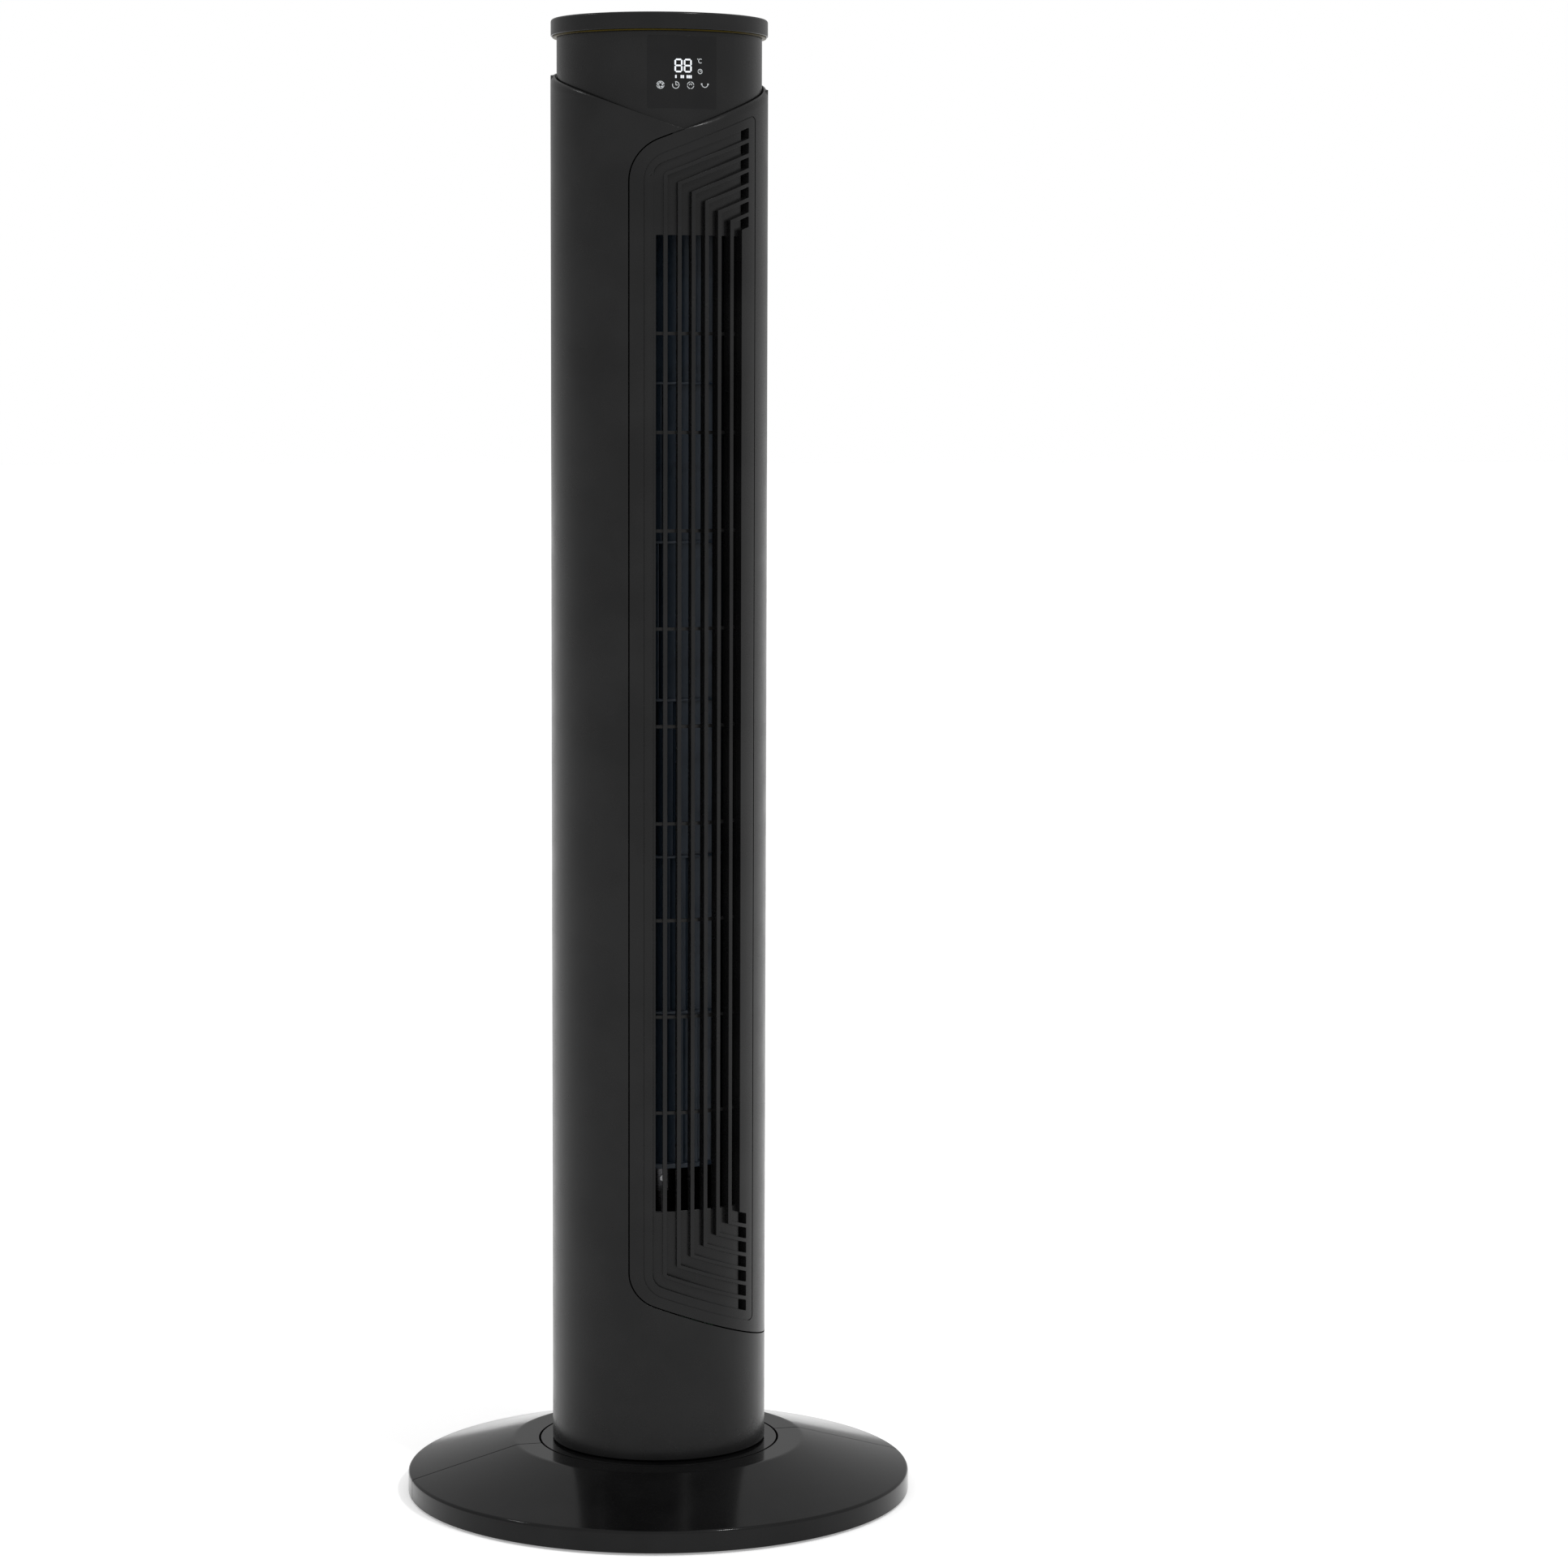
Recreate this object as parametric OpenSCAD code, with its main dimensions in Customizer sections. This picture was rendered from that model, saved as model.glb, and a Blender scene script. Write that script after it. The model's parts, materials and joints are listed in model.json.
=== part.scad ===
// Tower fan: a round base, and on it a tall cylindrical tower that swings from side to side.
// Origin: centre of the base's underside on the floor. +Z is up, and the fan faces -Y.
// Angles called "bearing" are measured from the front (-Y) towards +X.

/* [Base] */
// Radius of the round base
base_r = 157.5; // [140:0.5:175]
// Height of the base's upright rim, from the floor
rim_h = 14.6; // [13:0.2:17]
// Height of the flat middle of the base, from the floor
plateau_z = 33; // [32:0.5:36]
// Radius of the flat middle of the base
plateau_r = 90.8; // [86:0.2:100]
// Wall thickness of the base halves
base_wall = 2.6; // [2:0.1:3]

/* [Tower] */
// Overall height
fan_h = 915.1; // [905:0.1:930]
// Outer radius of the casing
casing_r = 66.6; // [66:0.1:67.5]
// Wall thickness of the casing
casing_wall = 2.7; // [2.2:0.1:2.9]
// Outer radius of the control housing
neck_r = 62.8; // [62.5:0.1:63.4]
// Height of the top cap
cap_h = 10.1; // [9:0.1:12]
// Bearing of one casing split, the other is opposite
split_bearing = 75; // [72:1:80]

/* [Grille] */
// Left edge of the grille panel, seen from the front
panel_left = -32.3; // [-34:0.1:-30]
// Left edge of the first bar
bar_x = -12.65; // [-13:0.05:-12]
// Distance from bar to bar
bar_pitch = 8.57; // [8.4:0.01:8.6]
// Width of a bar
bar_w = 2.5; // [2:0.1:3]
// Number of bars
bar_count = 6; // [5:1:6]
// Lower end of the open slots
slot_z0 = 189; // [188:1:192]
// Upper end of the open slots
slot_z1 = 783; // [780:1:784]
// Depth of the recessed bands
band_depth = 3.4; // [3:0.1:4]
// Number of cross ribs behind the bars
rib_count = 9; // [5:1:11]

/* [Rear intake] */
// Number of slot rows
intake_rows = 58; // [40:1:58]
// Distance from row to row
intake_pitch = 10; // [9.5:0.1:10]
// Height of one intake slot
intake_h = 5.6; // [4:0.1:6]

/* [Blower] */
// Radius of the impeller
wheel_r = 44; // [40:0.5:45]
// Number of impeller blades
blade_count = 26; // [20:1:28]
// Number of impeller segments
segment_count = 6; // [5:1:7]

/* [Hidden] */
$fn = 96;
FAR = 200;
black = [0.12, 0.12, 0.125];
black_soft = [0.16, 0.16, 0.165];
rubber = [0.07, 0.07, 0.07];
steel = [0.66, 0.67, 0.69];
zinc = [0.58, 0.59, 0.61];
pom = [0.88, 0.87, 0.83];
board_green = [0.08, 0.3, 0.16];
gold = [0.5, 0.42, 0.16];
copper = [0.62, 0.33, 0.16];
glass_black = [0.05, 0.05, 0.055];

// Base and swivel
rim_z = 1.5;
rim_round = 2;
well_r = 75.2;
collar_z = 18;
table_r = 74.3;
table_t = 3;
table_z = plateau_z - table_t;
hub_r = 16;
hub_bore = 8;
hub_z = 4.7;
washer_r = 21;
washer_t = 2.1;
run_gap = 0.06;
face_gap = 0.3;
tray_z = 5;
tray_t = 3;
tray_r = 104;
tray_top = tray_z + tray_t;
tray_boss_r = 23;
bush_r = 19;
bush_top = 20;
track_r0 = 61;
track_r1 = 69;
track_z = 27;
foot_ring = 140;
foot_r = 8;
foot_h = 4;
foot_count = 8;
cone_fall = (plateau_z - rim_h) / (base_r - 1.5 - plateau_r);

// Tower
tower_z = plateau_z + 1;
inner_r = casing_r - casing_wall;
floor_z = tower_z + 0.5;
floor_t = 3;
plate_r = 60.2;
plate_t = 3;
cap_z = fan_h - cap_h;
trim_t = 0.9;
deck_z = cap_z - trim_t;
deck_t = 2.5;
neck_wall = 2.4;
neck_tuck = 5;
split_gap = 0.4;
seam_gap = 0.25;
boss_ring = 60.2;
boss_heights = [70, 300, 560, 825];

// Sloping top edge of the casing: height on the axis, rise per mm of X and of Y
edge_left = [855.2, -0.3313, 0.1434];
edge_right = [848.6, 0.368, 0.041];

// Grille, as seen from the front (X across, Z up)
top_rise = 0.39;
low_fall = 0.355;
window_x0 = 38.7;
window_x1 = 43.8;
window_cut_x = 41;
band_top_z = 839.85;
band_top_pitch = 8.83;
band_top_h = 6.44;
band_low_z = 130.45;
band_low_pitch = 9.08;
band_low_h = 6.67;
frame_x = -18.7;
slot_inset = 1.6;
cut_step = 0.1;
insert_r = 60.8;
band_r = casing_r - band_depth;
groove_left = -24;
groove_right = 49.5;
groove_w = 0.45;
groove_depth = 0.5;
rib_z = 249.9;
rib_pitch = 59.3;
rib_r = 58.8;
rib_h = 2;

// Display
display_half = 20;
display_z0 = 858;
display_z1 = 902;
display_t = 1.25;
key_z = 872;
key_x = [-13.6, -4.5, 4.6, 13.7];
print_t = 0.06;
stroke = 0.45;
digit_w = 4.9;
digit_h = 8.1;
digit_z = 879.5;
digit_x = [-5.3, 0.4];
digit_stroke = 0.95;

// Rear intake: three columns of slots
intake_z = 198;
intake_x = [-50, -15.5, 19];
intake_w = 31;
// A slot beside a screw boss starts this much further in
boss_clear = 8;

// Blower
chamber_z0 = 160;
chamber_z1 = 800;
wheel_z0 = 212;
wheel_z1 = 793;
disc_t = 3;
blade_r = 34;
blade_t = 0.9;
shaft_r = 4;
pin_r = 3;
sheet_t = 1.8;
guide_r = 50.9;
tongue_r = 47.9;
motor_r = 36;
motor_z = 100;

// Circles that the screws stand on
base_screw_ring = 96;
gear_screw_ring = 26;
hub_screw_ring = 12;
tower_screw_ring = 50;
motor_screw_ring = 25;
cap_screw_ring = 45;

// Swing drive
gear_module = 1;
gear_teeth = 60;
pinion_teeth = 15;
gear_r = gear_module * gear_teeth / 2;
pinion_r = gear_module * pinion_teeth / 2;
gear_gap = gear_r + pinion_r;
gear_z0 = 12;
gear_z1 = 18;
tooth_play = 0.2;
pressure = 20;
swing_shaft_r = 2.5;
swing_motor_z = 41;
swing_motor_h = 16;
swing_motor_r = 21;
swing_ear = 24.2;

// Cord gland
gland_z = 70;
gland_r = 7;
gland_bore = 3.6;

// ---------- outlines ----------

function unit(v) = v / norm(v);

function wrap(a) = a > 180 ? a - 360 : a < -180 ? a + 360 : a;

// Points of an arc of radius r that rounds the corner at q between p and s
function corner(p, q, s, r, steps = 8) =
    r <= 0 ? [q] :
    let (
        u = unit(p - q),
        v = unit(s - q),
        half = acos(u * v) / 2,
        c = q + unit(u + v) * r / sin(half),
        a = q + u * r / tan(half) - c,
        b = q + v * r / tan(half) - c,
        start = atan2(a.y, a.x),
        sweep = wrap(atan2(b.y, b.x) - start)
    )
    [for (k = [0 : steps]) c + r * [cos(start + sweep * k / steps), sin(start + sweep * k / steps)]];

// A closed outline with each corner rounded by its own radius
function rounded(pts, radii) =
    let (n = len(pts))
    [for (i = [0 : n - 1]) each corner(pts[(i + n - 1) % n], pts[i], pts[(i + 1) % n], radii[i])];

// The grille panel's outline, grown by g
function panel_outline(g) =
    let (
        x0 = panel_left - g,
        low = function (x) 124 - 1.066 * g - low_fall * x,
        top = function (x) 846 + 1.07 * g + 0.385 * x
    )
    rounded(
        [[x0, low(x0)], [FAR, low(FAR)], [FAR, FAR + fan_h], [0, FAR + fan_h], [0, top(0)], [x0, top(x0)]],
        [22 + g, 0, 0, 0, 0, 27 + g]
    );

// The line that frames the grille, grown by g
function groove_outline(g) =
    let (
        x0 = groove_left - g,
        x1 = groove_right + g,
        low = function (x) 131.35 - 1.066 * g - low_fall * x,
        top = function (x) 837 + 1.07 * g + 0.4 * x
    )
    rounded(
        [[x0, low(x0)], [x1, low(x1)], [x1, top(x1)], [x0, top(x0)]],
        [max(16 + g, 1), max(3 + g, 1), max(3 + g, 1), max(18 + g, 1)]
    );

// Heights of the edges of band k at x: top band and low band, far and near side
function bar_left(k) = bar_x + bar_pitch * k;

function top_near(k, x) = band_top_z - band_top_pitch * k + top_rise * (x - window_x0);

function top_far(k, x) = top_near(k, x) + band_top_h;

function low_near(k, x) = band_low_z + band_low_pitch * k - low_fall * (x - window_x0);

function low_far(k, x) = low_near(k, x) - band_low_h;

function band_left(k) = k == 0 ? frame_x : bar_left(k - 1) + bar_w;

function band_right(k) = k == bar_count ? window_x0 : bar_left(k);

// Recessed band k: up along its bar, and turned to the right at both ends, as far as its windows
function band_outline(k) =
    let (
        x0 = band_left(k),
        x1 = band_right(k),
        x2 = window_x1 + cut_step,
        big = k == 0 ? 9 : 0,
        small = k == 0 ? 3.5 : 0
    )
    rounded(
        [
            [x2, top_far(k, x2)], [x0, top_far(k, x0)], [x0, low_far(k, x0)], [x2, low_far(k, x2)],
            [x2, low_near(k, x2)], [x1, low_near(k, x1)], [x1, top_near(k, x1)], [x2, top_near(k, x2)]
        ],
        [0, big, big, 0, 0, small, small, 0]
    );

// Small window between two sloping edges, a little inside them
function window_outline(low, high) =
    let (
        x0 = window_cut_x,
        x1 = window_x1,
        d = cut_step
    )
    [[x0, low[0] + d], [x1, low[1] + d], [x1, high[1] - d], [x0, high[0] - d]];

function edge_ends(height) = [height(window_cut_x), height(window_x1)];

// A strip of thickness t that follows a line of points
function strip(line, t) =
    let (
        n = len(line),
        side = [
            for (i = [0 : n - 1])
                let (d = unit(line[min(i + 1, n - 1)] - line[max(i - 1, 0)])) [-d.y, d.x] * t / 2
        ]
    )
    concat([for (i = [0 : n - 1]) line[i] + side[i]], [for (i = [n - 1 : -1 : 0]) line[i] - side[i]]);

function at_bearing(r, b) = [r * sin(b), -r * cos(b)];

// ---------- shared shapes ----------

// Stands a front-view outline up and carries it towards -Y
module front_prism(pts, depth = 70) {
    rotate([90, 0, 0])
        linear_extrude(depth)
            polygon(pts);
}

module tube(r0, r1, z0, z1) {
    translate([0, 0, z0])
        difference() {
            cylinder(r = r1, h = z1 - z0);
            translate([0, 0, -1])
                cylinder(r = r0, h = z1 - z0 + 2);
        }
}

module disc(r, z0, z1) {
    translate([0, 0, z0])
        cylinder(r = r, h = z1 - z0);
}

// Part of a tube between two bearings
module arc_wall(r0, r1, b0, b1, z0, z1) {
    rotate([0, 0, b0 - 90])
        rotate_extrude(angle = b1 - b0)
            translate([r0, z0])
                square([r1 - r0, z1 - z0]);
}

// Turns children round the Z axis: one copy at each angle
module ring_of(count, first = 0) {
    for (k = [0 : count - 1])
        rotate([0, 0, first + 360 * k / count])
            children();
}

// Everything above (or below) a sloping edge, moved up by dz
module above_edge(edge, dz = 0) {
    translate([0, 0, edge[0] + dz])
        rotate([0, 0, atan2(-edge[2], -edge[1])])
            rotate([0, atan(norm([edge[1], edge[2]])), 0])
                translate([-FAR, -FAR, 0])
                    cube([2 * FAR, 2 * FAR, FAR]);
}

module below_edge(edge, dz = 0) {
    translate([0, 0, edge[0] + dz])
        rotate([0, 0, atan2(-edge[2], -edge[1])])
            rotate([0, atan(norm([edge[1], edge[2]])), 0])
                translate([-FAR, -FAR, -FAR])
                    cube([2 * FAR, 2 * FAR, FAR]);
}

// Everything on one side of the casing split: side -1 is the front half, 1 the rear half
module split_half(side) {
    rotate([0, 0, split_bearing - 90])
        translate([-FAR, side > 0 ? split_gap / 2 : -FAR - split_gap / 2, 0])
            cube([2 * FAR, FAR, fan_h]);
}

// A cylinder square to the split plane, from y0 to y1 behind it
module split_pin(side, z, r, y0, y1) {
    rotate([0, 0, split_bearing - 90])
        translate([side * boss_ring, y0, z])
            rotate([-90, 0, 0])
                cylinder(r = r, h = y1 - y0);
}

// Pan-head screw along Z: its head hangs below z, its shank goes up
module screw_up(r, shank, head_r, head_h) {
    cylinder(r = r, h = shank);
    translate([0, 0, -head_h])
        cylinder(r = head_r, h = head_h);
}

module screw_down(r, shank, head_r, head_h) {
    mirror([0, 0, 1])
        screw_up(r, shank, head_r, head_h);
}

// ---------- base ----------

module base_shell() {
    rotate_extrude()
        polygon(concat(
            [[base_r, rim_z]],
            [for (a = [0 : 12 : 72]) [base_r - rim_round * (1 - cos(a)), rim_h - rim_round * (1 - sin(a))]],
            [
                [plateau_r, plateau_z],
                [well_r, plateau_z],
                [well_r, collar_z],
                [well_r + base_wall, collar_z],
                [well_r + base_wall, plateau_z - base_wall],
                [plateau_r - 0.4, plateau_z - base_wall],
                [base_r - base_wall, rim_h - base_wall - 0.2],
                [base_r - base_wall, rim_z]
            ]
        ));
}

// Upright web under the cone
module base_web() {
    under = function (r) plateau_z - 2 - (r - plateau_r) * cone_fall;
    rotate([90, 0, 0])
        translate([0, 0, -0.8])
            linear_extrude(1.6)
                polygon([
                    [well_r + 2, 11], [base_r - 4, 4], [base_r - 4, under(base_r - 4)],
                    [plateau_r, under(plateau_r)], [well_r + 2, under(plateau_r)]
                ]);
}

// Everything in front of the base's seam (side -1) or behind it (side 1)
module seam_half(side) {
    translate([-FAR, side > 0 ? seam_gap / 2 : -FAR - seam_gap / 2, 0])
        cube([2 * FAR, FAR, 60]);
}

module base_half(side) {
    difference() {
        union() {
            intersection() {
                base_shell();
                seam_half(side);
            }
            for (a = [15 : 30 : 165])
                rotate([0, 0, side * a])
                    base_web();
            for (a = [30 : 60 : 150])
                rotate([0, 0, side * a])
                    translate([base_screw_ring, 0, tray_top])
                        cylinder(r = 4.5, h = 21.5);
            for (a = [22.5 : 45 : 157.5])
                rotate([0, 0, side * a])
                    translate([foot_ring, 0, foot_h])
                        cylinder(r = 7, h = 13.2);
        }
        for (a = [30 : 60 : 150])
            rotate([0, 0, side * a])
                translate([base_screw_ring, 0, tray_top - 1])
                    cylinder(r = 1.55, h = 13);
    }
}

module base_front_half() {
    color(black)
        base_half(-1);
}

module base_rear_half() {
    color(black)
        base_half(1);
}

module base_tray() {
    color(black_soft)
        difference() {
            union() {
                disc(tray_r, tray_z, tray_top);
                disc(tray_boss_r, tray_z, bush_top);
                tube(track_r0 + 1, track_r1 - 1, tray_z, track_z);
            }
            disc(bush_r, tray_z - 1, bush_top + 1);
            ring_of(6, 30)
                translate([base_screw_ring, 0, 0])
                    cylinder(r = 2, h = 20);
            ring_of(3, 30)
                translate([gear_screw_ring, 0, 0])
                    cylinder(r = 1.25, h = 12);
        }
}

module base_screws() {
    color(zinc)
        ring_of(6, 30)
            translate([base_screw_ring, 0, tray_z])
                screw_up(1.5, 13, 3.6, 2.2);
}

module rubber_feet() {
    color(rubber)
        ring_of(foot_count, 180 / foot_count)
            translate([foot_ring, 0, 0])
                union() {
                    cylinder(r1 = foot_r - 1, r2 = foot_r, h = 1);
                    translate([0, 0, 1])
                        cylinder(r = foot_r, h = foot_h - 1);
                }
}

// ---------- swing gears ----------

function involute(angle) = tan(angle) - angle * PI / 180;

// Half the angle that a tooth fills at radius r
function tooth_half(r, rp, rb, teeth) =
    let (at = r <= rb ? 0 : acos(rb / r))
    90 / teeth - tooth_play / rp * 90 / PI + (involute(pressure) - involute(at)) * 180 / PI;

// Points up one side of tooth k, side -1 or 1
function tooth_side(flank, turn, side) =
    [for (i = [0 : 4]) let (a = turn + side * flank[i][1]) flank[i][0] * [cos(a), sin(a)]];

function reversed(list) = [for (i = [len(list) - 1 : -1 : 0]) list[i]];

// Outline of an external gear with stub involute teeth
function gear_outline(teeth) =
    let (
        rp = gear_module * teeth / 2,
        rb = rp * cos(pressure),
        root = rp - 1.2 * gear_module,
        tip = rp + 0.8 * gear_module,
        low = max(rb, root),
        rise = [root, low, low + (tip - low) * 0.33, low + (tip - low) * 0.67, tip],
        flank = [for (r = rise) [r, tooth_half(max(r, low), rp, rb, teeth)]]
    )
    [
        for (k = [0 : teeth - 1])
            each concat(
                tooth_side(flank, 360 * k / teeth, -1),
                reversed(tooth_side(flank, 360 * k / teeth, 1))
            )
    ];

module fixed_gear() {
    color(pom)
        difference() {
            union() {
                translate([0, 0, gear_z0])
                    linear_extrude(gear_z1 - gear_z0)
                        polygon(gear_outline(gear_teeth));
                disc(gear_r - 2, tray_top, gear_z0 + 1);
            }
            disc(tray_boss_r + 0.1, 0, 40);
            ring_of(3, 30)
                translate([gear_screw_ring, 0, 0])
                    cylinder(r = 1.35, h = 40);
        }
}

module gear_screws() {
    color(zinc)
        ring_of(3, 30)
            translate([gear_screw_ring, 0, gear_z1])
                screw_down(1.2, 12, 2.2, 1.5);
}

module drive_pinion() {
    color(pom)
        translate([0, gear_gap, 0])
            difference() {
                union() {
                    translate([0, 0, gear_z0 + 0.4])
                        rotate([0, 0, -90 + 180 / pinion_teeth])
                            linear_extrude(gear_z1 - gear_z0 - 0.8)
                                polygon(gear_outline(pinion_teeth));
                    disc(4.5, gear_z1 - 1, gear_z1 + 6);
                }
                disc(swing_shaft_r + 0.02, 0, 40);
            }
}

module pinion_shaft() {
    color(steel)
        translate([0, gear_gap, gear_z0])
            cylinder(r = swing_shaft_r, h = swing_motor_z + 5 - gear_z0);
}

// ---------- swivel ----------

module swivel_bush() {
    color(pom)
        difference() {
            union() {
                disc(bush_r - 0.02, tray_z, bush_top);
                disc(tray_boss_r - 1, bush_top, bush_top + 2);
            }
            disc(hub_r + run_gap, 0, 40);
        }
}

module glide_ring() {
    color(pom)
        tube(track_r0, track_r1, track_z, table_z - face_gap);
}

module turntable() {
    color(black_soft)
        difference() {
            union() {
                disc(table_r, table_z, plateau_z);
                disc(hub_r, hub_z, table_z + 1);
                tube(table_r - 2.8, table_r, table_z - 8, table_z + 1);
            }
            disc(hub_bore, 0, 60);
            translate([0, gear_gap, 0])
                disc(7, 0, 60);
            ring_of(4, 45)
                translate([tower_screw_ring, 0, 0])
                    cylinder(r = 1.9, h = 60);
            ring_of(3)
                translate([hub_screw_ring, 0, 0])
                    cylinder(r = 1.55, h = 16);
        }
}

module retaining_washer() {
    color(zinc)
        difference() {
            disc(washer_r, hub_z - washer_t, hub_z);
            disc(hub_bore, 0, 20);
            ring_of(3)
                translate([hub_screw_ring, 0, 0])
                    cylinder(r = 1.7, h = 20);
        }
}

module retaining_screws() {
    color(zinc)
        ring_of(3)
            translate([hub_screw_ring, 0, hub_z - washer_t])
                screw_up(1.5, 12, 3, 1.6);
}

module bottom_plate() {
    color(black_soft)
        difference() {
            union() {
                disc(inner_r - 0.4, floor_z, floor_z + floor_t);
                disc(61, plateau_z, floor_z + 1);
                tube(inner_r - 3, inner_r - 0.4, floor_z + floor_t - 1, floor_z + 9);
                ring_of(4, 45)
                    translate([tower_screw_ring, 0, floor_z])
                        cylinder(r = 4, h = 12);
            }
            disc(12, 0, 60);
            translate([0, gear_gap, 0])
                disc(7, 0, 60);
            for (side = [-1, 1])
                translate([side * swing_ear, gear_gap, 0])
                    cylinder(r = 1.45, h = 60);
            ring_of(4, 45)
                translate([tower_screw_ring, 0, 0])
                    cylinder(r = 1.55, h = 45);
        }
}

module tower_screws() {
    color(zinc)
        ring_of(4, 45)
            translate([tower_screw_ring, 0, table_z])
                screw_up(1.5, 14, 3.6, 2.2);
}

// ---------- casing ----------

// The whole casing tube, with its rounded foot and its sloping top edge
module casing_tube() {
    foot = 0.8;
    difference() {
        rotate_extrude()
            polygon(concat(
                [[inner_r, tower_z], [casing_r - foot, tower_z]],
                [for (a = [-70 : 14 : 0]) [casing_r - foot * (1 - cos(a)), tower_z + foot * (1 + sin(a))]],
                [[casing_r, fan_h], [inner_r, fan_h]]
            ));
        intersection() {
            above_edge(edge_left);
            above_edge(edge_right);
        }
    }
}

// Inner ledges that carry the motor mount and the upper bearing plate
module ledges() {
    for (z = [chamber_z0, chamber_z1])
        tube(58.5, inner_r + 0.3, z - 2.6, z);
}

module front_bosses(side, heights) {
    for (z = heights)
        intersection() {
            split_pin(side, z, 4, -14, -split_gap / 2);
            disc(casing_r - 0.5, 0, fan_h);
        }
}

module front_boss_holes(side, heights) {
    for (z = heights)
        split_pin(side, z, 1.45, -12, 1);
}

module front_casing() {
    color(black)
        difference() {
            union() {
                intersection() {
                    union() {
                        casing_tube();
                        ledges();
                    }
                    split_half(-1);
                }
                front_bosses(-1, boss_heights);
                front_bosses(1, [boss_heights[0]]);
            }
            front_prism(panel_outline(seam_gap));
            front_boss_holes(-1, boss_heights);
            front_boss_holes(1, [boss_heights[0]]);
        }
}

// True for a slot from height z that would cut into a screw boss
function beside_boss(z) = len([for (h = boss_heights) if (z < h + 5 && z + intake_h > h - 5) h]) > 0;

module intake_slots() {
    rotate([-90, 0, 0])
        linear_extrude(70)
            for (row = [0 : intake_rows - 1])
                for (x = intake_x) {
                    z = intake_z + intake_pitch * row;
                    shorter = x == intake_x[0] && beside_boss(z) ? boss_clear : 0;
                    translate([x + shorter, -(z + intake_h)])
                        square([intake_w - shorter, intake_h]);
                }
}

module rear_casing() {
    color(black)
        difference() {
            union() {
                intersection() {
                    union() {
                        casing_tube();
                        ledges();
                    }
                    split_half(1);
                }
                for (side = [-1, 1])
                    for (z = boss_heights)
                        intersection() {
                            split_pin(side, z, 4.6, split_gap / 2, 34);
                            disc(casing_r - 0.3, 0, fan_h);
                        }
            }
            for (side = [-1, 1])
                for (z = boss_heights) {
                    split_pin(side, z, 3.4, 6, 60);
                    split_pin(side, z, 1.7, -1, 7);
                }
            intake_slots();
            translate([0, 40, gland_z])
                rotate([-90, 0, 0]) {
                    cylinder(r = gland_r + 0.05, h = 40);
                    translate([0, 0, 24.6])
                        cylinder(r = gland_r + 2.2, h = 20);
                }
        }
}

module casing_screws() {
    color(zinc)
        for (side = [-1, 1])
            for (z = boss_heights) {
                split_pin(side, z, 1.4, -10, 6.1);
                split_pin(side, z, 3.1, 6, 8.2);
            }
}

module cord_gland() {
    color(rubber)
        translate([0, 52, gland_z])
            rotate([-90, 0, 0])
                difference() {
                    union() {
                        cylinder(r = gland_r, h = 15);
                        translate([0, 0, 12.8])
                            cylinder(r = gland_r + 2, h = 3.2);
                    }
                    translate([0, 0, -1])
                        cylinder(r = gland_bore, h = 20);
                }
}

// ---------- grille panel ----------

// Open slot k between the bars
module slot_cut(k) {
    x0 = band_left(k) + (k == 0 ? slot_inset : cut_step);
    x1 = band_right(k) - cut_step;
    translate([x0, -FAR / 2, slot_z0])
        cube([x1 - x0, FAR / 2, slot_z1 - slot_z0]);
}

module window_cuts(k) {
    front_prism(window_outline(
        edge_ends(function (x) top_near(k, x)),
        edge_ends(function (x) top_far(k, x))
    ));
    front_prism(window_outline(
        edge_ends(function (x) low_far(k, x)),
        edge_ends(function (x) low_near(k, x))
    ));
}

// The recessed bands, the open slots and the windows at the ends of the bands
module grille_cuts() {
    intersection() {
        union()
            for (k = [0 : bar_count])
                front_prism(band_outline(k));
        tube(band_r, casing_r + 5, 90, 880);
    }
    for (k = [0 : bar_count]) {
        slot_cut(k);
        window_cuts(k);
    }
}

// The fine line that frames the grille
module frame_groove() {
    intersection() {
        difference() {
            front_prism(groove_outline(0));
            front_prism(groove_outline(-groove_w), 72);
        }
        tube(casing_r - groove_depth, casing_r + 5, 90, 880);
    }
}

module grille_rib(k) {
    z = rib_z + rib_pitch * k;
    arc_wall(rib_r, insert_r + 0.6, -18.5, 39, z - rib_h / 2, z + rib_h / 2);
}

module grille_panel() {
    heights = [boss_heights[1], boss_heights[2], boss_heights[3]];
    color(black)
        difference() {
            union() {
                intersection() {
                    union() {
                        casing_tube();
                        intersection() {
                            tube(insert_r, inner_r + 0.3, 100, 870);
                            front_prism(groove_outline(-2.2));
                        }
                    }
                    split_half(-1);
                    front_prism(panel_outline(-seam_gap));
                }
                front_bosses(1, heights);
            }
            front_boss_holes(1, heights);
            grille_cuts();
            frame_groove();
        }
    color(black)
        for (k = [0 : rib_count - 1])
            grille_rib(k);
}

// ---------- control housing ----------

module control_housing() {
    color(black_soft)
        difference() {
            union() {
                difference() {
                    tube(neck_r - neck_wall, neck_r, 830, deck_z);
                    below_edge(edge_left, -neck_tuck);
                    below_edge(edge_right, -neck_tuck);
                }
                disc(neck_r, deck_z - deck_t, deck_z);
            }
            arc_wall(neck_r - display_t - 0.05, neck_r + 1, -display_half - 0.2, display_half + 0.2,
                display_z0 - 0.2, display_z1 - 0.4);
            translate([-17, -FAR / 2, 866])
                cube([34, FAR / 2 - 40, 27]);
            ring_of(3, 90)
                translate([cap_screw_ring, 0, 880])
                    cylinder(r = 1.8, h = 30);
        }
}

module display_window() {
    color(glass_black)
        arc_wall(neck_r - display_t, neck_r, -display_half, display_half, display_z0, display_z1 - 0.6);
}

module control_board() {
    color(board_green)
        translate([-28, -50, 862])
            cube([56, 1.6, 36]);
}

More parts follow.
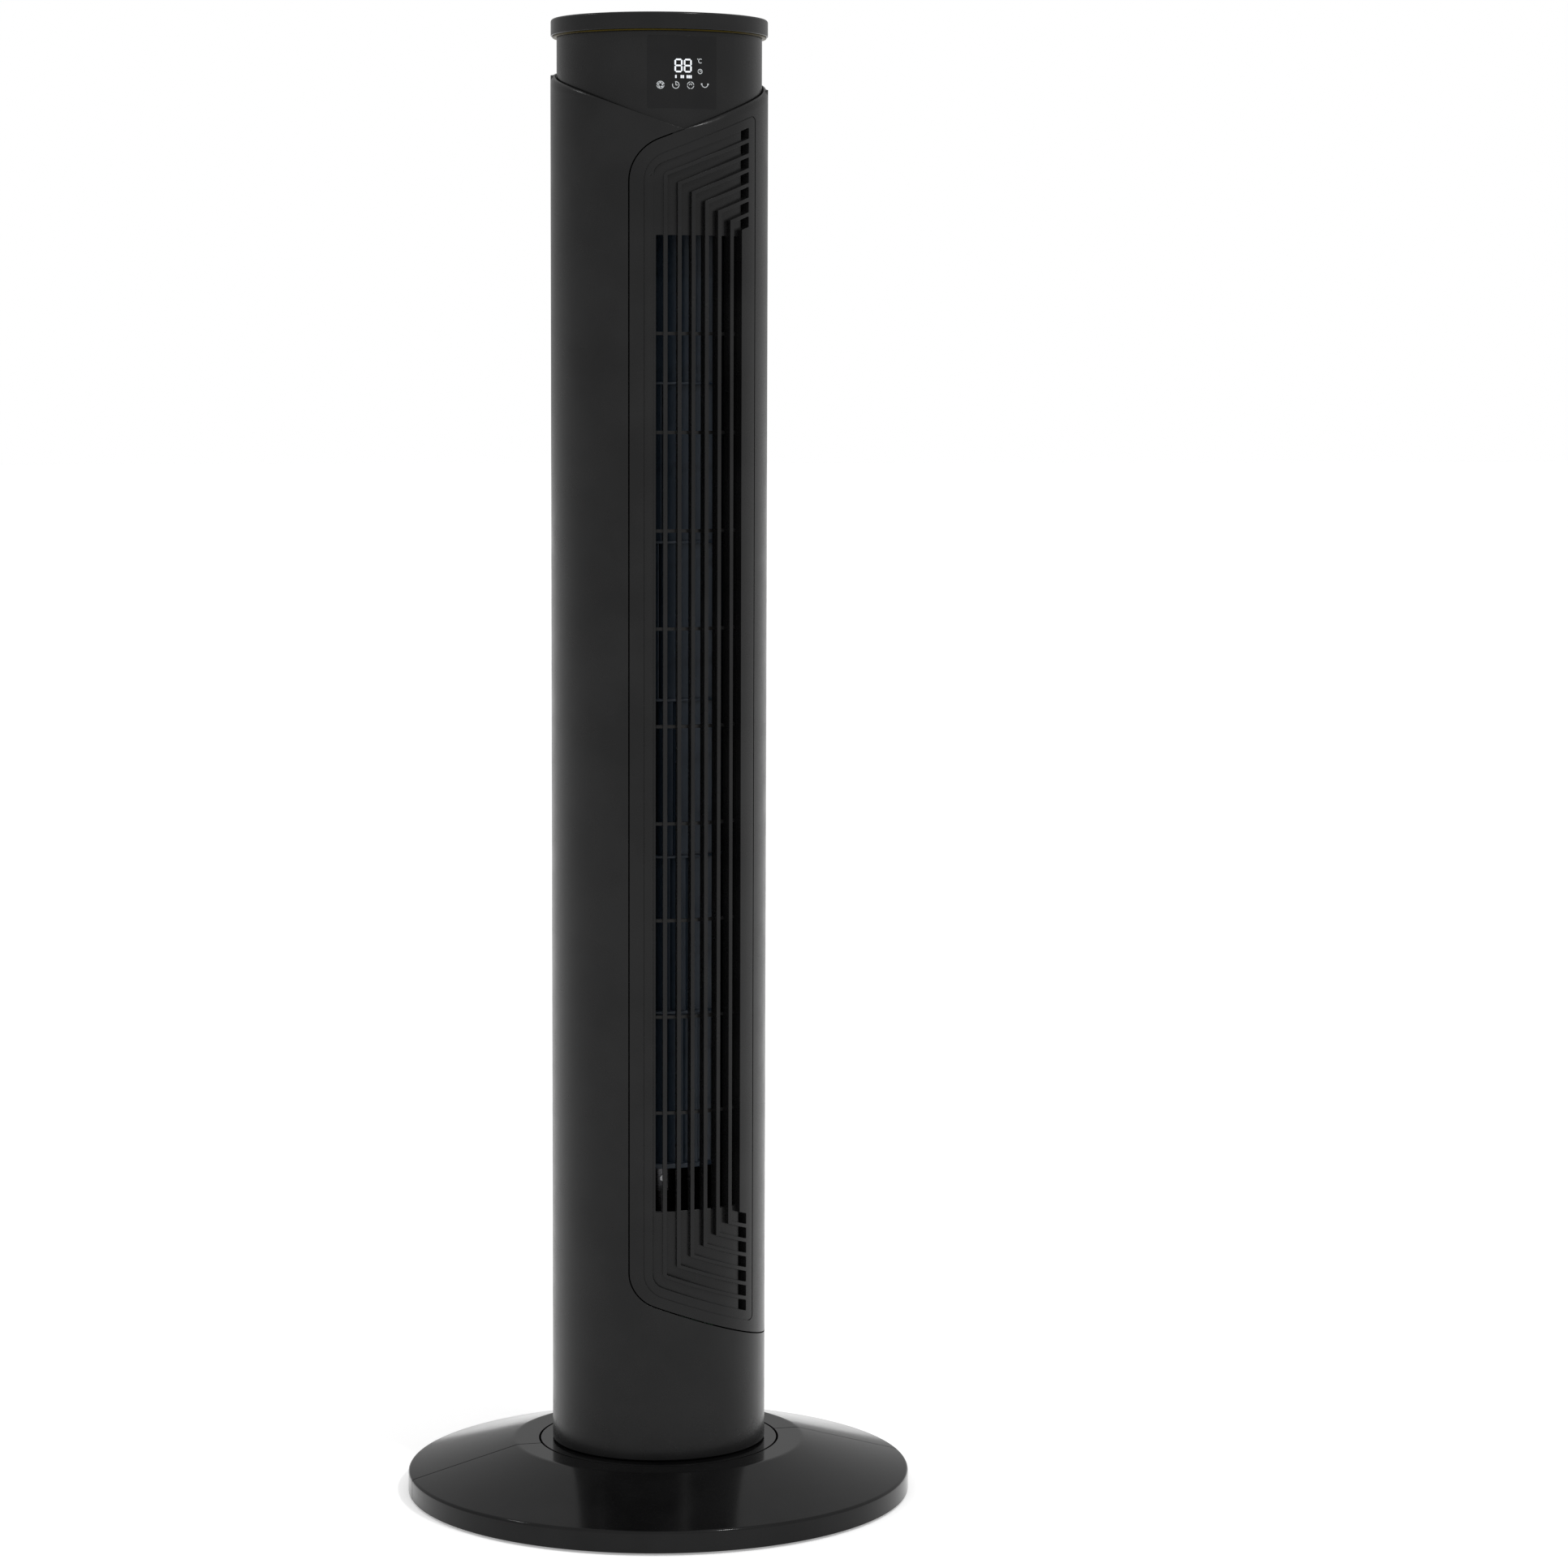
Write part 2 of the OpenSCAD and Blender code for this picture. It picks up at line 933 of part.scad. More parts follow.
module led_display() {
    color(black_soft)
        translate([-13, -58, 876.5])
            cube([26, 8, 15.5]);
}

module touch_springs() {
    color(copper)
        for (x = key_x)
            translate([x, -50, key_z])
                rotate([90, 0, 0])
                    cylinder(r = 2.6, h = 8);
}

// Keeps only a thin skin of its children on the display window
module printed() {
    intersection() {
        rotate([90, 0, 0])
            linear_extrude(70)
                children();
        tube(neck_r, neck_r + print_t, display_z0, display_z1);
    }
}

// One bar of a digit, with pointed ends
module digit_bar(x, z, len, upright) {
    half = digit_stroke / 2;
    end = len / 2 - 0.12;
    translate([x, z])
        rotate(upright ? 90 : 0)
            polygon([
                [-end, 0], [half - end, half], [end - half, half],
                [end, 0], [end - half, -half], [half - end, -half]
            ]);
}

module digit_eight(x) {
    half = digit_stroke / 2;
    wide = digit_w - digit_stroke;
    tall = (digit_h - digit_stroke) / 2;
    for (k = [0 : 2])
        digit_bar(x + digit_w / 2, digit_z + half + tall * k, wide, false);
    for (k = [0 : 1])
        for (side = [0, 1])
            digit_bar(x + half + wide * side, digit_z + half + tall * (k + 0.5), tall, true);
}

// Speed marks: one, two and three short bars
module speed_marks() {
    step = 1.15;
    for (group = [0 : 2])
        for (k = [0 : group])
            translate([[-4.9, -1.6, 2.1][group] + step * k, 876.1])
                square([0.9, 1.8]);
}

module lit_digits() {
    color("white")
        printed() {
            for (x = digit_x)
                digit_eight(x);
            speed_marks();
        }
}

// Part of a ring, from angle a to angle b
module ring_part(r, a, b) {
    steps = 16;
    polygon(concat(
        [for (i = [0 : steps]) let (t = a + (b - a) * i / steps) (r + stroke / 2) * [cos(t), sin(t)]],
        [for (i = [steps : -1 : 0]) let (t = a + (b - a) * i / steps) (r - stroke / 2) * [cos(t), sin(t)]]
    ));
}

module fan_symbol() {
    for (k = [0 : 4])
        rotate(72 * k + 18)
            translate([1.25, 0])
                rotate(60)
                    square([1.3, 0.7], center = true);
    for (k = [0 : 1])
        rotate(180 * k)
            ring_part(2.1, 8, 172);
}

module timer_symbol() {
    ring_part(2, -200, 100);
    translate([-0.22, 0])
        square([stroke, 2]);
    translate([0, -0.22])
        square([1.2, stroke]);
}

module dial_symbol() {
    for (k = [0 : 3])
        rotate(90 * k)
            ring_part(2, 8, 82);
    ring_part(0.8, 0, 180);
}

module swing_symbol() {
    translate([0, 1])
        ring_part(2, 195, 345);
    for (side = [-1, 1])
        translate([side * 2.05, 0.9])
            square([1, 0.8], center = true);
}

module degree_symbol() {
    translate([-1.3, 1.1])
        square([0.6, 0.6], center = true);
    translate([0.4, 0])
        ring_part(1.2, 50, 310);
}

module clock_symbol() {
    ring_part(1.3, 0, 175);
    ring_part(1.3, 185, 355);
    translate([-0.15, 0])
        square([0.3, 0.9]);
    translate([0, -0.15])
        square([0.8, 0.3]);
}

module key_symbols() {
    color([0.8, 0.82, 0.83])
        printed() {
            translate([key_x[0], key_z])
                fan_symbol();
            translate([key_x[1], key_z])
                timer_symbol();
            translate([key_x[2], key_z])
                dial_symbol();
            translate([key_x[3], key_z])
                swing_symbol();
            translate([10.4, 886.5])
                degree_symbol();
            translate([10.6, 880.3])
                clock_symbol();
        }
}

module ir_receiver() {
    color(black_soft)
        translate([19, -54.5, 882])
            cube([6, 4.5, 7]);
}

module cap_trim_ring() {
    color(gold)
        tube(neck_r - 5, casing_r - 1.2, deck_z, cap_z);
}

module top_cap() {
    outer = casing_r - 0.2;
    bevel = 1.2;
    color(black)
        difference() {
            union() {
                rotate_extrude()
                    polygon([
                        [0, fan_h - 2.6], [outer - 2.8, fan_h - 2.6], [outer - 2.8, cap_z],
                        [outer, cap_z], [outer, fan_h - bevel], [outer - bevel, fan_h], [0, fan_h]
                    ]);
                ring_of(3, 90)
                    translate([cap_screw_ring, 0, deck_z])
                        cylinder(r = 4, h = cap_h - 1);
            }
            ring_of(3, 90)
                translate([cap_screw_ring, 0, deck_z - 1])
                    cylinder(r = 1.45, h = 8.4);
        }
}

module cap_screws() {
    color(zinc)
        ring_of(3, 90)
            translate([cap_screw_ring, 0, deck_z - deck_t])
                screw_up(1.4, 8, 3.4, 2);
}

// ---------- blower ----------

// Upright sheet of the air path, between the motor mount and the upper bearing plate
module air_sheet(line) {
    color(black_soft)
        translate([0, 0, chamber_z0 + plate_t])
            linear_extrude(chamber_z1 - chamber_z0 - plate_t)
                polygon(strip(line, sheet_t));
}

module air_guide() {
    air_sheet(concat([for (b = [-135 : 5.5 : -25]) at_bearing(guide_r, b)], [[-21.6, -55.4]]));
}

module air_tongue() {
    air_sheet(concat([for (b = [74 : -5 : 44]) at_bearing(tongue_r, b)], [at_bearing(59.8, 44)]));
}

module motor_mount() {
    color(black_soft)
        difference() {
            disc(plate_r, chamber_z0, chamber_z0 + plate_t);
            disc(10.6, 0, 300);
            ring_of(4, 45)
                translate([motor_screw_ring, 0, 0])
                    cylinder(r = 1.8, h = 300);
        }
}

module fan_motor() {
    top = chamber_z0;
    color(steel)
        difference() {
            union() {
                disc(motor_r, motor_z + 12, top - 14);
                disc(motor_r - 5, motor_z, top);
                disc(10, top - 1, top + 9);
            }
            disc(shaft_r + run_gap, motor_z + 26, 300);
            ring_of(4, 45)
                translate([motor_screw_ring, 0, top - 12])
                    cylinder(r = 1.65, h = 60);
        }
}

module motor_screws() {
    color(zinc)
        ring_of(4, 45)
            translate([motor_screw_ring, 0, chamber_z0 + plate_t])
                screw_down(1.6, 12, 3.4, 2.2);
}

module upper_bearing_plate() {
    color(black_soft)
        difference() {
            disc(plate_r, chamber_z1, chamber_z1 + plate_t);
            disc(9.05, 0, fan_h);
        }
}

module upper_bush() {
    color(rubber)
        difference() {
            union() {
                disc(9, chamber_z1 - 1, chamber_z1 + plate_t);
                disc(12, chamber_z1 + plate_t, chamber_z1 + plate_t + 2);
            }
            disc(pin_r + run_gap, 0, fan_h);
        }
}

// Cross-section of blade 0, curved forwards, from the inner to the outer radius
function blade_outline() =
    let (
        steps = 4,
        r = function (t) blade_r + (wheel_r - 1 - blade_r) * t,
        a = function (t) 14 * t * t,
        face = function (t, d) (r(t)) * [cos(a(t)), sin(a(t))] + d * [-sin(a(t) + 25), cos(a(t) + 25)]
    )
    concat(
        [for (i = [0 : steps]) face(i / steps, -blade_t / 2)],
        [for (i = [steps : -1 : 0]) face(i / steps, blade_t / 2)]
    );

module impeller() {
    step = (wheel_z1 - disc_t - wheel_z0) / segment_count;
    color([0.1, 0.13, 0.17])
        union() {
            ring_of(blade_count)
                translate([0, 0, wheel_z0 + 1])
                    linear_extrude(wheel_z1 - wheel_z0 - 2)
                        polygon(blade_outline());
            tube(shaft_r + 0.3, wheel_r, wheel_z0, wheel_z0 + disc_t);
            for (k = [1 : segment_count - 1])
                tube(blade_r - 2, wheel_r, wheel_z0 + k * step, wheel_z0 + k * step + 1.6);
            tube(pin_r + 0.02, wheel_r, wheel_z1 - disc_t, wheel_z1);
            tube(pin_r + 0.02, 8, wheel_z1 - 12, wheel_z1 - 1);
        }
}

module impeller_hub() {
    color(zinc)
        difference() {
            union() {
                disc(11, wheel_z0 - 20, wheel_z0);
                disc(18, wheel_z0 - 3, wheel_z0);
            }
            disc(shaft_r + 0.02, 0, fan_h);
            translate([0, 0, wheel_z0 - 12])
                rotate([90, 0, 0])
                    cylinder(r = 2.02, h = 30);
        }
}

module rotor_shaft() {
    color(steel)
        disc(shaft_r, motor_z + 28, wheel_z0 + 6);
}

module grub_screw() {
    color(zinc)
        translate([0, -shaft_r - 0.1, wheel_z0 - 12])
            rotate([90, 0, 0])
                cylinder(r = 2, h = 8);
}

module upper_pin() {
    color(steel)
        disc(pin_r, wheel_z1 - 12, chamber_z1 + plate_t + 4);
}

// ---------- electrics ----------

module power_board() {
    color(board_green)
        union() {
            translate([-24, -46, 62])
                cube([48, 1.6, 58]);
            translate([-18, -52, 70])
                cube([14, 6.5, 18]);
            translate([2, -50, 72])
                cube([12, 4.5, 12]);
            translate([-14, -51, 98])
                cube([20, 5.5, 12]);
        }
}

module swing_motor() {
    color(steel)
        translate([0, gear_gap, 0])
            difference() {
                union() {
                    disc(swing_motor_r, swing_motor_z, swing_motor_z + swing_motor_h);
                    disc(5, floor_z + floor_t, swing_motor_z + 1);
                    for (side = [-1, 1])
                        translate([side * 20 - 6, -5, floor_z + floor_t])
                            cube([12, 10, swing_motor_z - floor_z - floor_t + 2]);
                }
                disc(swing_shaft_r + run_gap, 0, swing_motor_z + 6);
                for (side = [-1, 1])
                    translate([side * swing_ear, 0, 0])
                        cylinder(r = 1.7, h = 60);
            }
}

module swing_motor_screws() {
    color(zinc)
        for (side = [-1, 1])
            translate([side * swing_ear, gear_gap, swing_motor_z + 2])
                screw_down(1.4, 6.5, 2.4, 1.6);
}

base_front_half();
base_rear_half();
base_tray();
base_screws();
rubber_feet();
fixed_gear();
gear_screws();
swivel_bush();
glide_ring();
turntable();
retaining_washer();
retaining_screws();
bottom_plate();
tower_screws();
front_casing();
rear_casing();
grille_panel();
casing_screws();
cord_gland();
control_housing();
display_window();
control_board();
led_display();
touch_springs();
lit_digits();
key_symbols();
ir_receiver();
top_cap();
cap_trim_ring();
cap_screws();
air_guide();
air_tongue();
motor_mount();
fan_motor();
motor_screws();
upper_bearing_plate();
upper_bush();
power_board();
swing_motor();
swing_motor_screws();
impeller();
impeller_hub();
rotor_shaft();
grub_screw();
upper_pin();
drive_pinion();
pinion_shaft();
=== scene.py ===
import functools
import json
import math

import bmesh
import bpy
from mathutils import Matrix, Vector
from mathutils.geometry import delaunay_2d_cdt

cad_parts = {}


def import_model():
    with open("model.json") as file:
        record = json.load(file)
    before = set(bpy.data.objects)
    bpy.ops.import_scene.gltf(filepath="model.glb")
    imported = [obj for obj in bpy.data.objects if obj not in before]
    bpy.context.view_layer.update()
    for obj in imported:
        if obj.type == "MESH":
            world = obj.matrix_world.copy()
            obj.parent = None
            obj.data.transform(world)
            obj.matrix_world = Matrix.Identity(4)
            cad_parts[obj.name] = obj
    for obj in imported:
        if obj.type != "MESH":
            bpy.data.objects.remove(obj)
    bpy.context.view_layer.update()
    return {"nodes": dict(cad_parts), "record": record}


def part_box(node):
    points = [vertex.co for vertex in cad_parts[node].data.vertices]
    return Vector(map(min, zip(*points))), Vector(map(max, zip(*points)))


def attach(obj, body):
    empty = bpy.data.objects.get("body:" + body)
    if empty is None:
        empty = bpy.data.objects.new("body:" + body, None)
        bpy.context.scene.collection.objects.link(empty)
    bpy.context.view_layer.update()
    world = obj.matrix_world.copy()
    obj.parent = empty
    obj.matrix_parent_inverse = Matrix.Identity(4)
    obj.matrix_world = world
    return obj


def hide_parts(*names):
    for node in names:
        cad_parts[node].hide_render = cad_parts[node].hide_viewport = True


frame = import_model()

# Lengths in this script are millimetres until a mesh is made: then they are scaled by MM.
MM = 0.001
FACET = 2.5  # degrees between the upright lines of a curved wall


# ---------- what the frame says ----------

def low(node):
    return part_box(node)[0] / MM


def high(node):
    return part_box(node)[1] / MM


def outer_radius(node):
    """Largest distance of a CAD node's points from the fan's axis."""
    return max(v.co.xy.length for v in frame["nodes"][node].data.vertices) / MM


base_r = outer_radius("base_front_half")
rim_z = low("base_front_half").z
plateau_z = high("base_front_half").z
table_r = outer_radius("turntable")
casing_r = outer_radius("rear_casing")
neck_r = outer_radius("control_housing")
cap_r = outer_radius("top_cap")
tower_z = low("front_casing").z
deck_z = low("cap_trim_ring").z
cap_z = high("cap_trim_ring").z
fan_h = high("top_cap").z
wheel_r = outer_radius("impeller")
wheel_z0 = low("impeller").z
wheel_z1 = high("impeller").z

# ---------- sizes of the outer shells ----------
# As in the part's source, apart from those marked "looks", which differ from it on purpose.

casing_wall = 2.7
rim_h = 14.6
plateau_r = 90.8
well_r = 75.2
collar_z = 18
base_wall = 2.6
foot_ring = 140
table_ease = 0.2  # looks: the groove round the turntable is this much wider on each side
split_bearing = 75
split_gap = 0.4
cad_gap = 0.25
seam_gap = 0.36  # looks: the gap round the grille panel, cad_gap in the source
base_seam = 0.8  # looks: the slit between the base halves, cad_gap in the source
neck_wall = 2.4
neck_tuck = 5
deck_t = 2.5
boss_ring = 60.2
boss_heights = [70, 300, 560, 825]
tunnel_r = 3.4
outlet_r = 9.2
# Sloping top edge of the casing: height on the axis, rise per mm of X and of Y
edge_left = (855.2, -0.3313, 0.1434)
edge_right = (848.6, 0.368, 0.041)
edge_rise = 5  # looks: the edge sweeps up by this much at two bearings
rise_bearings = (-122, 98)
rise_width = 22

panel_left = low("grille_panel").x - cad_gap
bar_x = -12.65
bar_pitch = 8.57
bar_w = 2.5
bar_count = 6
slot_z0 = 189
slot_z1 = 783
band_depth = 3.4
first_depth = 2  # looks: the first band, band_depth in the source
first_window = 1.4  # looks: its windows start this much further left
insert_depth = 5.8
top_rise = 0.39
low_fall = 0.355
slope_grow = 1.066  # how far a sloping line moves up or down when its outline grows by 1
panel_low_z, panel_top_z = 124, 846
groove_low_z, groove_top_z = 131.35, 837
# Recessed bands at the window column: height of the first, distance to the next, height of one
band_top = (839.85, 8.83, 6.44)
band_low = (130.45, 9.08, 6.67)
window_x0 = 38.7
window_x1 = 43.8
window_cut_x = 41
frame_x = -18.7
slot_inset = 1.6
cut_step = 0.1
groove_w = 0.6
groove_depth = 0.5
rib_z = 249.9
rib_pitch = 59.3
rib_count = 9

intake_rows = 58
intake_pitch = 10
intake_h = 5.6
intake_z = 198
intake_x = [-50, -15.5, 19]
intake_w = 31
boss_clear = 8

display_half = 20
display_z0 = 858
display_z1 = 901.4

# Rounded edges: how far one reaches along the wall and into its thickness, and, if it isn't 0,
# how far it is an S-shaped slope instead of a quarter round
lip_seam = (0.12, 0.12)
lip_top = (5.0, 2.4)
lip_foot = (0.7, 0.7)
lip_band = (0.18, 0.18, 0)
lip_frame = (3.6, 1.9, 1)
lip_slot = (0.35, 0.35)
lip_groove = (0.06, 0.06)


# ---------- outlines ----------

def corner(before, at, after, radius, steps=6):
    """Points of an arc that rounds the corner at `at`."""
    if radius <= 0:
        return [at]
    u = (before - at).normalized()
    v = (after - at).normalized()
    half = math.acos(max(-1, min(1, u.dot(v)))) / 2
    centre = at + (u + v).normalized() * radius / math.sin(half)
    first = at + u * radius / math.tan(half) - centre
    last = at + v * radius / math.tan(half) - centre
    start = math.atan2(first.y, first.x)
    sweep = math.atan2(last.y, last.x) - start
    sweep = (sweep + math.pi) % (2 * math.pi) - math.pi
    turns = [start + sweep * k / steps for k in range(steps + 1)]
    return [centre + radius * Vector((math.cos(t), math.sin(t))) for t in turns]


def rounded(points, radii, steps=6):
    """A closed outline with each corner rounded by its own radius."""
    points = [Vector(p) for p in points]
    result = []
    for i, (point, radius) in enumerate(zip(points, radii)):
        result += corner(points[i - 1], point, points[(i + 1) % len(points)], radius, steps)
    return result


def offset(points, distances):
    """A closed outline with each point moved to the left of its direction of travel."""
    moved = []
    for i, point in enumerate(points):
        a = (point - points[i - 1]).normalized()
        b = (points[(i + 1) % len(points)] - point).normalized()
        left_a = Vector((-a.y, a.x))
        mitre = left_a + Vector((-b.y, b.x))
        moved.append(point + mitre * distances[i] / max(0.3, mitre.dot(left_a)))
    return moved


def rectangle(x0, y0, x1, y1):
    return [(x0, y0), (x1, y0), (x1, y1), (x0, y1)]


def spaced(points, step):
    """Adds points so that no edge runs further than `step` across."""
    result = []
    for i, point in enumerate(points):
        after = points[(i + 1) % len(points)]
        parts = max(1, math.ceil(abs(after.x - point.x) / step))
        result += [point.lerp(after, k / parts) for k in range(parts)]
    return result


def edge_plane(x, y):
    """Height of the two sloping planes that cut the casing's top edge."""
    return max(e[0] + e[1] * x + e[2] * y for e in (edge_left, edge_right))


def edge_height(bearing):
    """Height of the casing's sloping top edge at a bearing in degrees."""
    x = casing_r * math.sin(math.radians(bearing))
    y = -casing_r * math.cos(math.radians(bearing))
    away = [(bearing + 180 - b) % 360 - 180 for b in rise_bearings]
    return edge_plane(x, y) + sum(edge_rise * math.exp(-(a / rise_width) ** 2) for a in away)


def arc(bearing, radius=None):
    """Distance round the outside of a wall to a bearing in degrees."""
    return math.radians(bearing) * (radius or casing_r)


def wrap_front(points, radius=None):
    """Takes points seen from the front (X, Z) to arc length and height on the wall."""
    r = radius or casing_r
    return [Vector((math.asin(max(-1, min(1, p.x / r))) * r, p.y)) for p in points]


# ---------- meshes ----------

def shade(mesh, sharp=38):
    """Corner normals: exact on walls that are round about the fan's axis, weighted by area elsewhere."""
    limit = math.cos(math.radians(sharp))
    touching = [[] for _ in mesh.vertices]
    for face in mesh.polygons:
        for v in face.vertices:
            touching[v].append(face.index)
    flat = [face.normal.copy() for face in mesh.polygons]
    area = [face.area for face in mesh.polygons]
    normals = [Vector((0, 0, 1))] * len(mesh.loops)
    for face in mesh.polygons:
        normal = flat[face.index]
        reach = [mesh.vertices[v].co.xy.length for v in face.vertices]
        is_round = max(reach) - min(reach) < 3e-7 and abs(normal.z) < 0.5
        for loop, v in zip(face.loop_indices, face.vertices):
            if is_round:
                co = mesh.vertices[v].co
                radial = Vector((co.x, co.y, 0)).normalized()
                normals[loop] = radial if radial.dot(normal) > 0 else -radial
            else:
                total = Vector()
                for other in touching[v]:
                    if flat[other].dot(normal) > limit:
                        total += flat[other] * area[other]
                normals[loop] = total.normalized() if total.length > 0 else normal
    mesh.polygons.foreach_set("use_smooth", [True] * len(mesh.polygons))
    mesh.normals_split_custom_set(normals)


def piece(name, bm, body, slot, replaced=(), sharp=38):
    """Makes a bmesh in millimetres into a piece that rides on a body."""
    bmesh.ops.remove_doubles(bm, verts=bm.verts, dist=1e-5)
    bmesh.ops.dissolve_degenerate(bm, edges=bm.edges, dist=1e-6)
    bmesh.ops.recalc_face_normals(bm, faces=bm.faces)
    bmesh.ops.scale(bm, vec=(MM, MM, MM), verts=bm.verts)
    mesh = bpy.data.meshes.new(name)
    bm.to_mesh(mesh)
    bm.free()
    shade(mesh, sharp)
    obj = bpy.data.objects.new(name, mesh)
    bpy.context.scene.collection.objects.link(obj)
    obj.data.materials.append(materials[slot])
    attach(obj, body)
    if replaced:
        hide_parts(*replaced)
    return obj


def lip_share(lip, turn):
    """How far along a lip, and how deep into it, a turn of 0 to 90 degrees gets."""
    soft = lip[2] if len(lip) > 2 else 0
    t = turn * 2 / math.pi
    along, deep = math.sin(turn), 1 - math.cos(turn)
    return along + (t - along) * soft, deep + (t * t * (3 - 2 * t) - deep) * soft


class Wall:
    """A curved wall, drawn flat and then bent round the fan's axis.

    On the flat, X is the arc along the outer surface, Y the height and Z minus the depth below that surface.
    Loops have the wall's material on their left.
    """

    def __init__(self, radius):
        self.radius = radius
        self.bm = bmesh.new()

    def ring(self, points, depths):
        return [self.bm.verts.new((p.x, p.y, -d)) for p, d in zip(points, depths)]

    def side(self, loop, top, bottom, lips=None, steps=3):
        """An edge of the wall from one depth to another, over a rounded lip.

        Returns its upper and its lower ring.
        """
        lips = lips if isinstance(lips, list) else [lips or (0, 0)] * len(loop)
        rings = []
        if max(lips) > (0, 0):
            for k in range(steps):
                turn = math.pi / 2 * k / steps
                shares = [lip_share(lip, turn) for lip in lips]
                inset = offset(loop, [lip[0] * (1 - share[0]) for lip, share in zip(lips, shares)])
                depths = [top + lip[1] * share[1] for lip, share in zip(lips, shares)]
                rings.append(self.ring(inset, depths))
        rings.append(self.ring(loop, [top + lip[1] for lip in lips]))
        rings.append(self.ring(loop, [bottom] * len(loop)))
        for upper, lower in zip(rings, rings[1:]):
            for i in range(len(loop)):
                j = (i + 1) % len(loop)
                self.bm.faces.new((upper[i], upper[j], lower[j], lower[i]))
        return rings[0], rings[-1]

    def fill(self, outside, holes=()):
        fill(self.bm, outside, holes)

    def block(self, loop, top, bottom, lips=None):
        upper, lower = self.side(loop, top, bottom, lips)
        self.fill(upper)
        self.fill(lower)

    def bend(self):
        """Cuts the wall along upright lines and wraps it round the axis."""
        step = arc(FACET, self.radius)
        across = [v.co.x for v in self.bm.verts]
        for k in range(math.ceil(min(across) / step), math.floor(max(across) / step) + 1):
            geometry = self.bm.verts[:] + self.bm.edges[:] + self.bm.faces[:]
            bmesh.ops.bisect_plane(
                self.bm, geom=geometry, dist=1e-4, plane_co=(k * step, 0, 0), plane_no=(1, 0, 0)
            )
        for v in self.bm.verts:
            turn = v.co.x / self.radius
            r = self.radius + v.co.z
            v.co = Vector((r * math.sin(turn), -r * math.cos(turn), v.co.y))
        return self.bm


def ccw(loop, verts):
    area = sum(
        verts[a].co.x * verts[b].co.y - verts[b].co.x * verts[a].co.y
        for a, b in zip(loop, loop[1:] + loop[:1])
    )
    return loop if area > 0 else loop[::-1]


def fill(bm, outside, holes=()):
    """Faces between an outer ring and the rings of its holes, as seen along Z."""
    verts = list(outside)
    loops = [list(range(len(outside)))]
    for hole in holes:
        loops.append(list(range(len(verts), len(verts) + len(hole))))
        verts += hole
    loops = [ccw(loop, verts) for loop in loops]
    found = delaunay_2d_cdt([v.co.xy for v in verts], [], loops, 1, 1e-6)
    faces, origin, inside = found[2], found[3], found[5]
    for face, owners in zip(faces, inside):
        if owners == [0]:
            bm.faces.new([verts[origin[i][0]] for i in face])


def sew(bm, rings):
    """Joins rings of equal length with quads, each to the next."""
    for a, b in zip(rings, rings[1:]):
        for i in range(len(a)):
            j = (i + 1) % len(a)
            bm.faces.new((a[i], a[j], b[j], b[i]))


def placed(rings, matrix):
    for ring in rings:
        for v in ring:
            v.co = matrix @ v.co


def standing(turn=0):
    """Stands an outline in the XY plane up to the front, and turns it about the fan's axis."""
    return Matrix.Rotation(turn, 4, "Z") @ Matrix.Rotation(math.pi / 2, 4, "X")


def circle(bm, r, z, steps):
    """A ring about Z, or a single point where the radius is 0."""
    turns = [2 * math.pi * k / steps for k in range(steps if r > 0 else 1)]
    return [bm.verts.new((r * math.cos(t), r * math.sin(t), z)) for t in turns]


def turned(bm, profile, matrix, facet=10):
    """Adds a closed profile of (radius, height) points, turned about Z and then placed by a matrix."""
    steps = round(360 / facet)
    rings = [circle(bm, r, z, steps) for r, z in profile]
    for a, b in zip(rings, rings[1:] + rings[:1]):
        if len(a) == 1 and len(b) == 1:
            continue
        for i in range(steps):
            corners = [a[i % len(a)], a[(i + 1) % len(a)], b[(i + 1) % len(b)], b[i % len(b)]]
            bm.faces.new(list(dict.fromkeys(corners)))
    placed(rings, matrix)


def rounded_box(bm, lowest, highest, edge):
    made = bmesh.ops.create_cube(bm, size=1)["verts"]
    lowest, highest = Vector(lowest), Vector(highest)
    middle, size = (lowest + highest) / 2, highest - lowest
    for v in made:
        v.co = middle + v.co * size
    edges = list({e for v in made for e in v.link_edges})
    bmesh.ops.bevel(bm, geom=edges, offset=edge, segments=2, profile=0.5, affect="EDGES")


def revolve(bm, profile, centre=(0, 0), facet=FACET):
    """Adds a closed profile of (radius, height) points, turned about an upright axis."""
    steps = round(360 / facet)
    rings = []
    for k in range(steps):
        turn = math.radians(k * facet)
        x, y = math.sin(turn), -math.cos(turn)
        rings.append([bm.verts.new((centre[0] + r * x, centre[1] + r * y, z)) for r, z in profile])
    for k in range(steps):
        a, b = rings[k], rings[(k + 1) % steps]
        for i in range(len(profile)):
            j = (i + 1) % len(profile)
            if profile[i][0] > 0 or profile[j][0] > 0:
                bm.faces.new((a[i], a[j], b[j], b[i]))
    bmesh.ops.remove_doubles(bm, verts=bm.verts, dist=1e-5)
    return bm


def prism(bm, points, z0, z1, matrix=Matrix.Identity(4)):
    """Adds a closed outline in the XY plane, carried from z0 to z1 and then placed by a matrix."""
    lower = [bm.verts.new(matrix @ Vector((p[0], p[1], z0))) for p in points]
    upper = [bm.verts.new(matrix @ Vector((p[0], p[1], z1))) for p in points]
    bm.faces.new(lower[::-1])
    bm.faces.new(upper)
    for i in range(len(points)):
        j = (i + 1) % len(points)
        bm.faces.new((lower[i], lower[j], upper[j], upper[i]))


# ---------- materials ----------

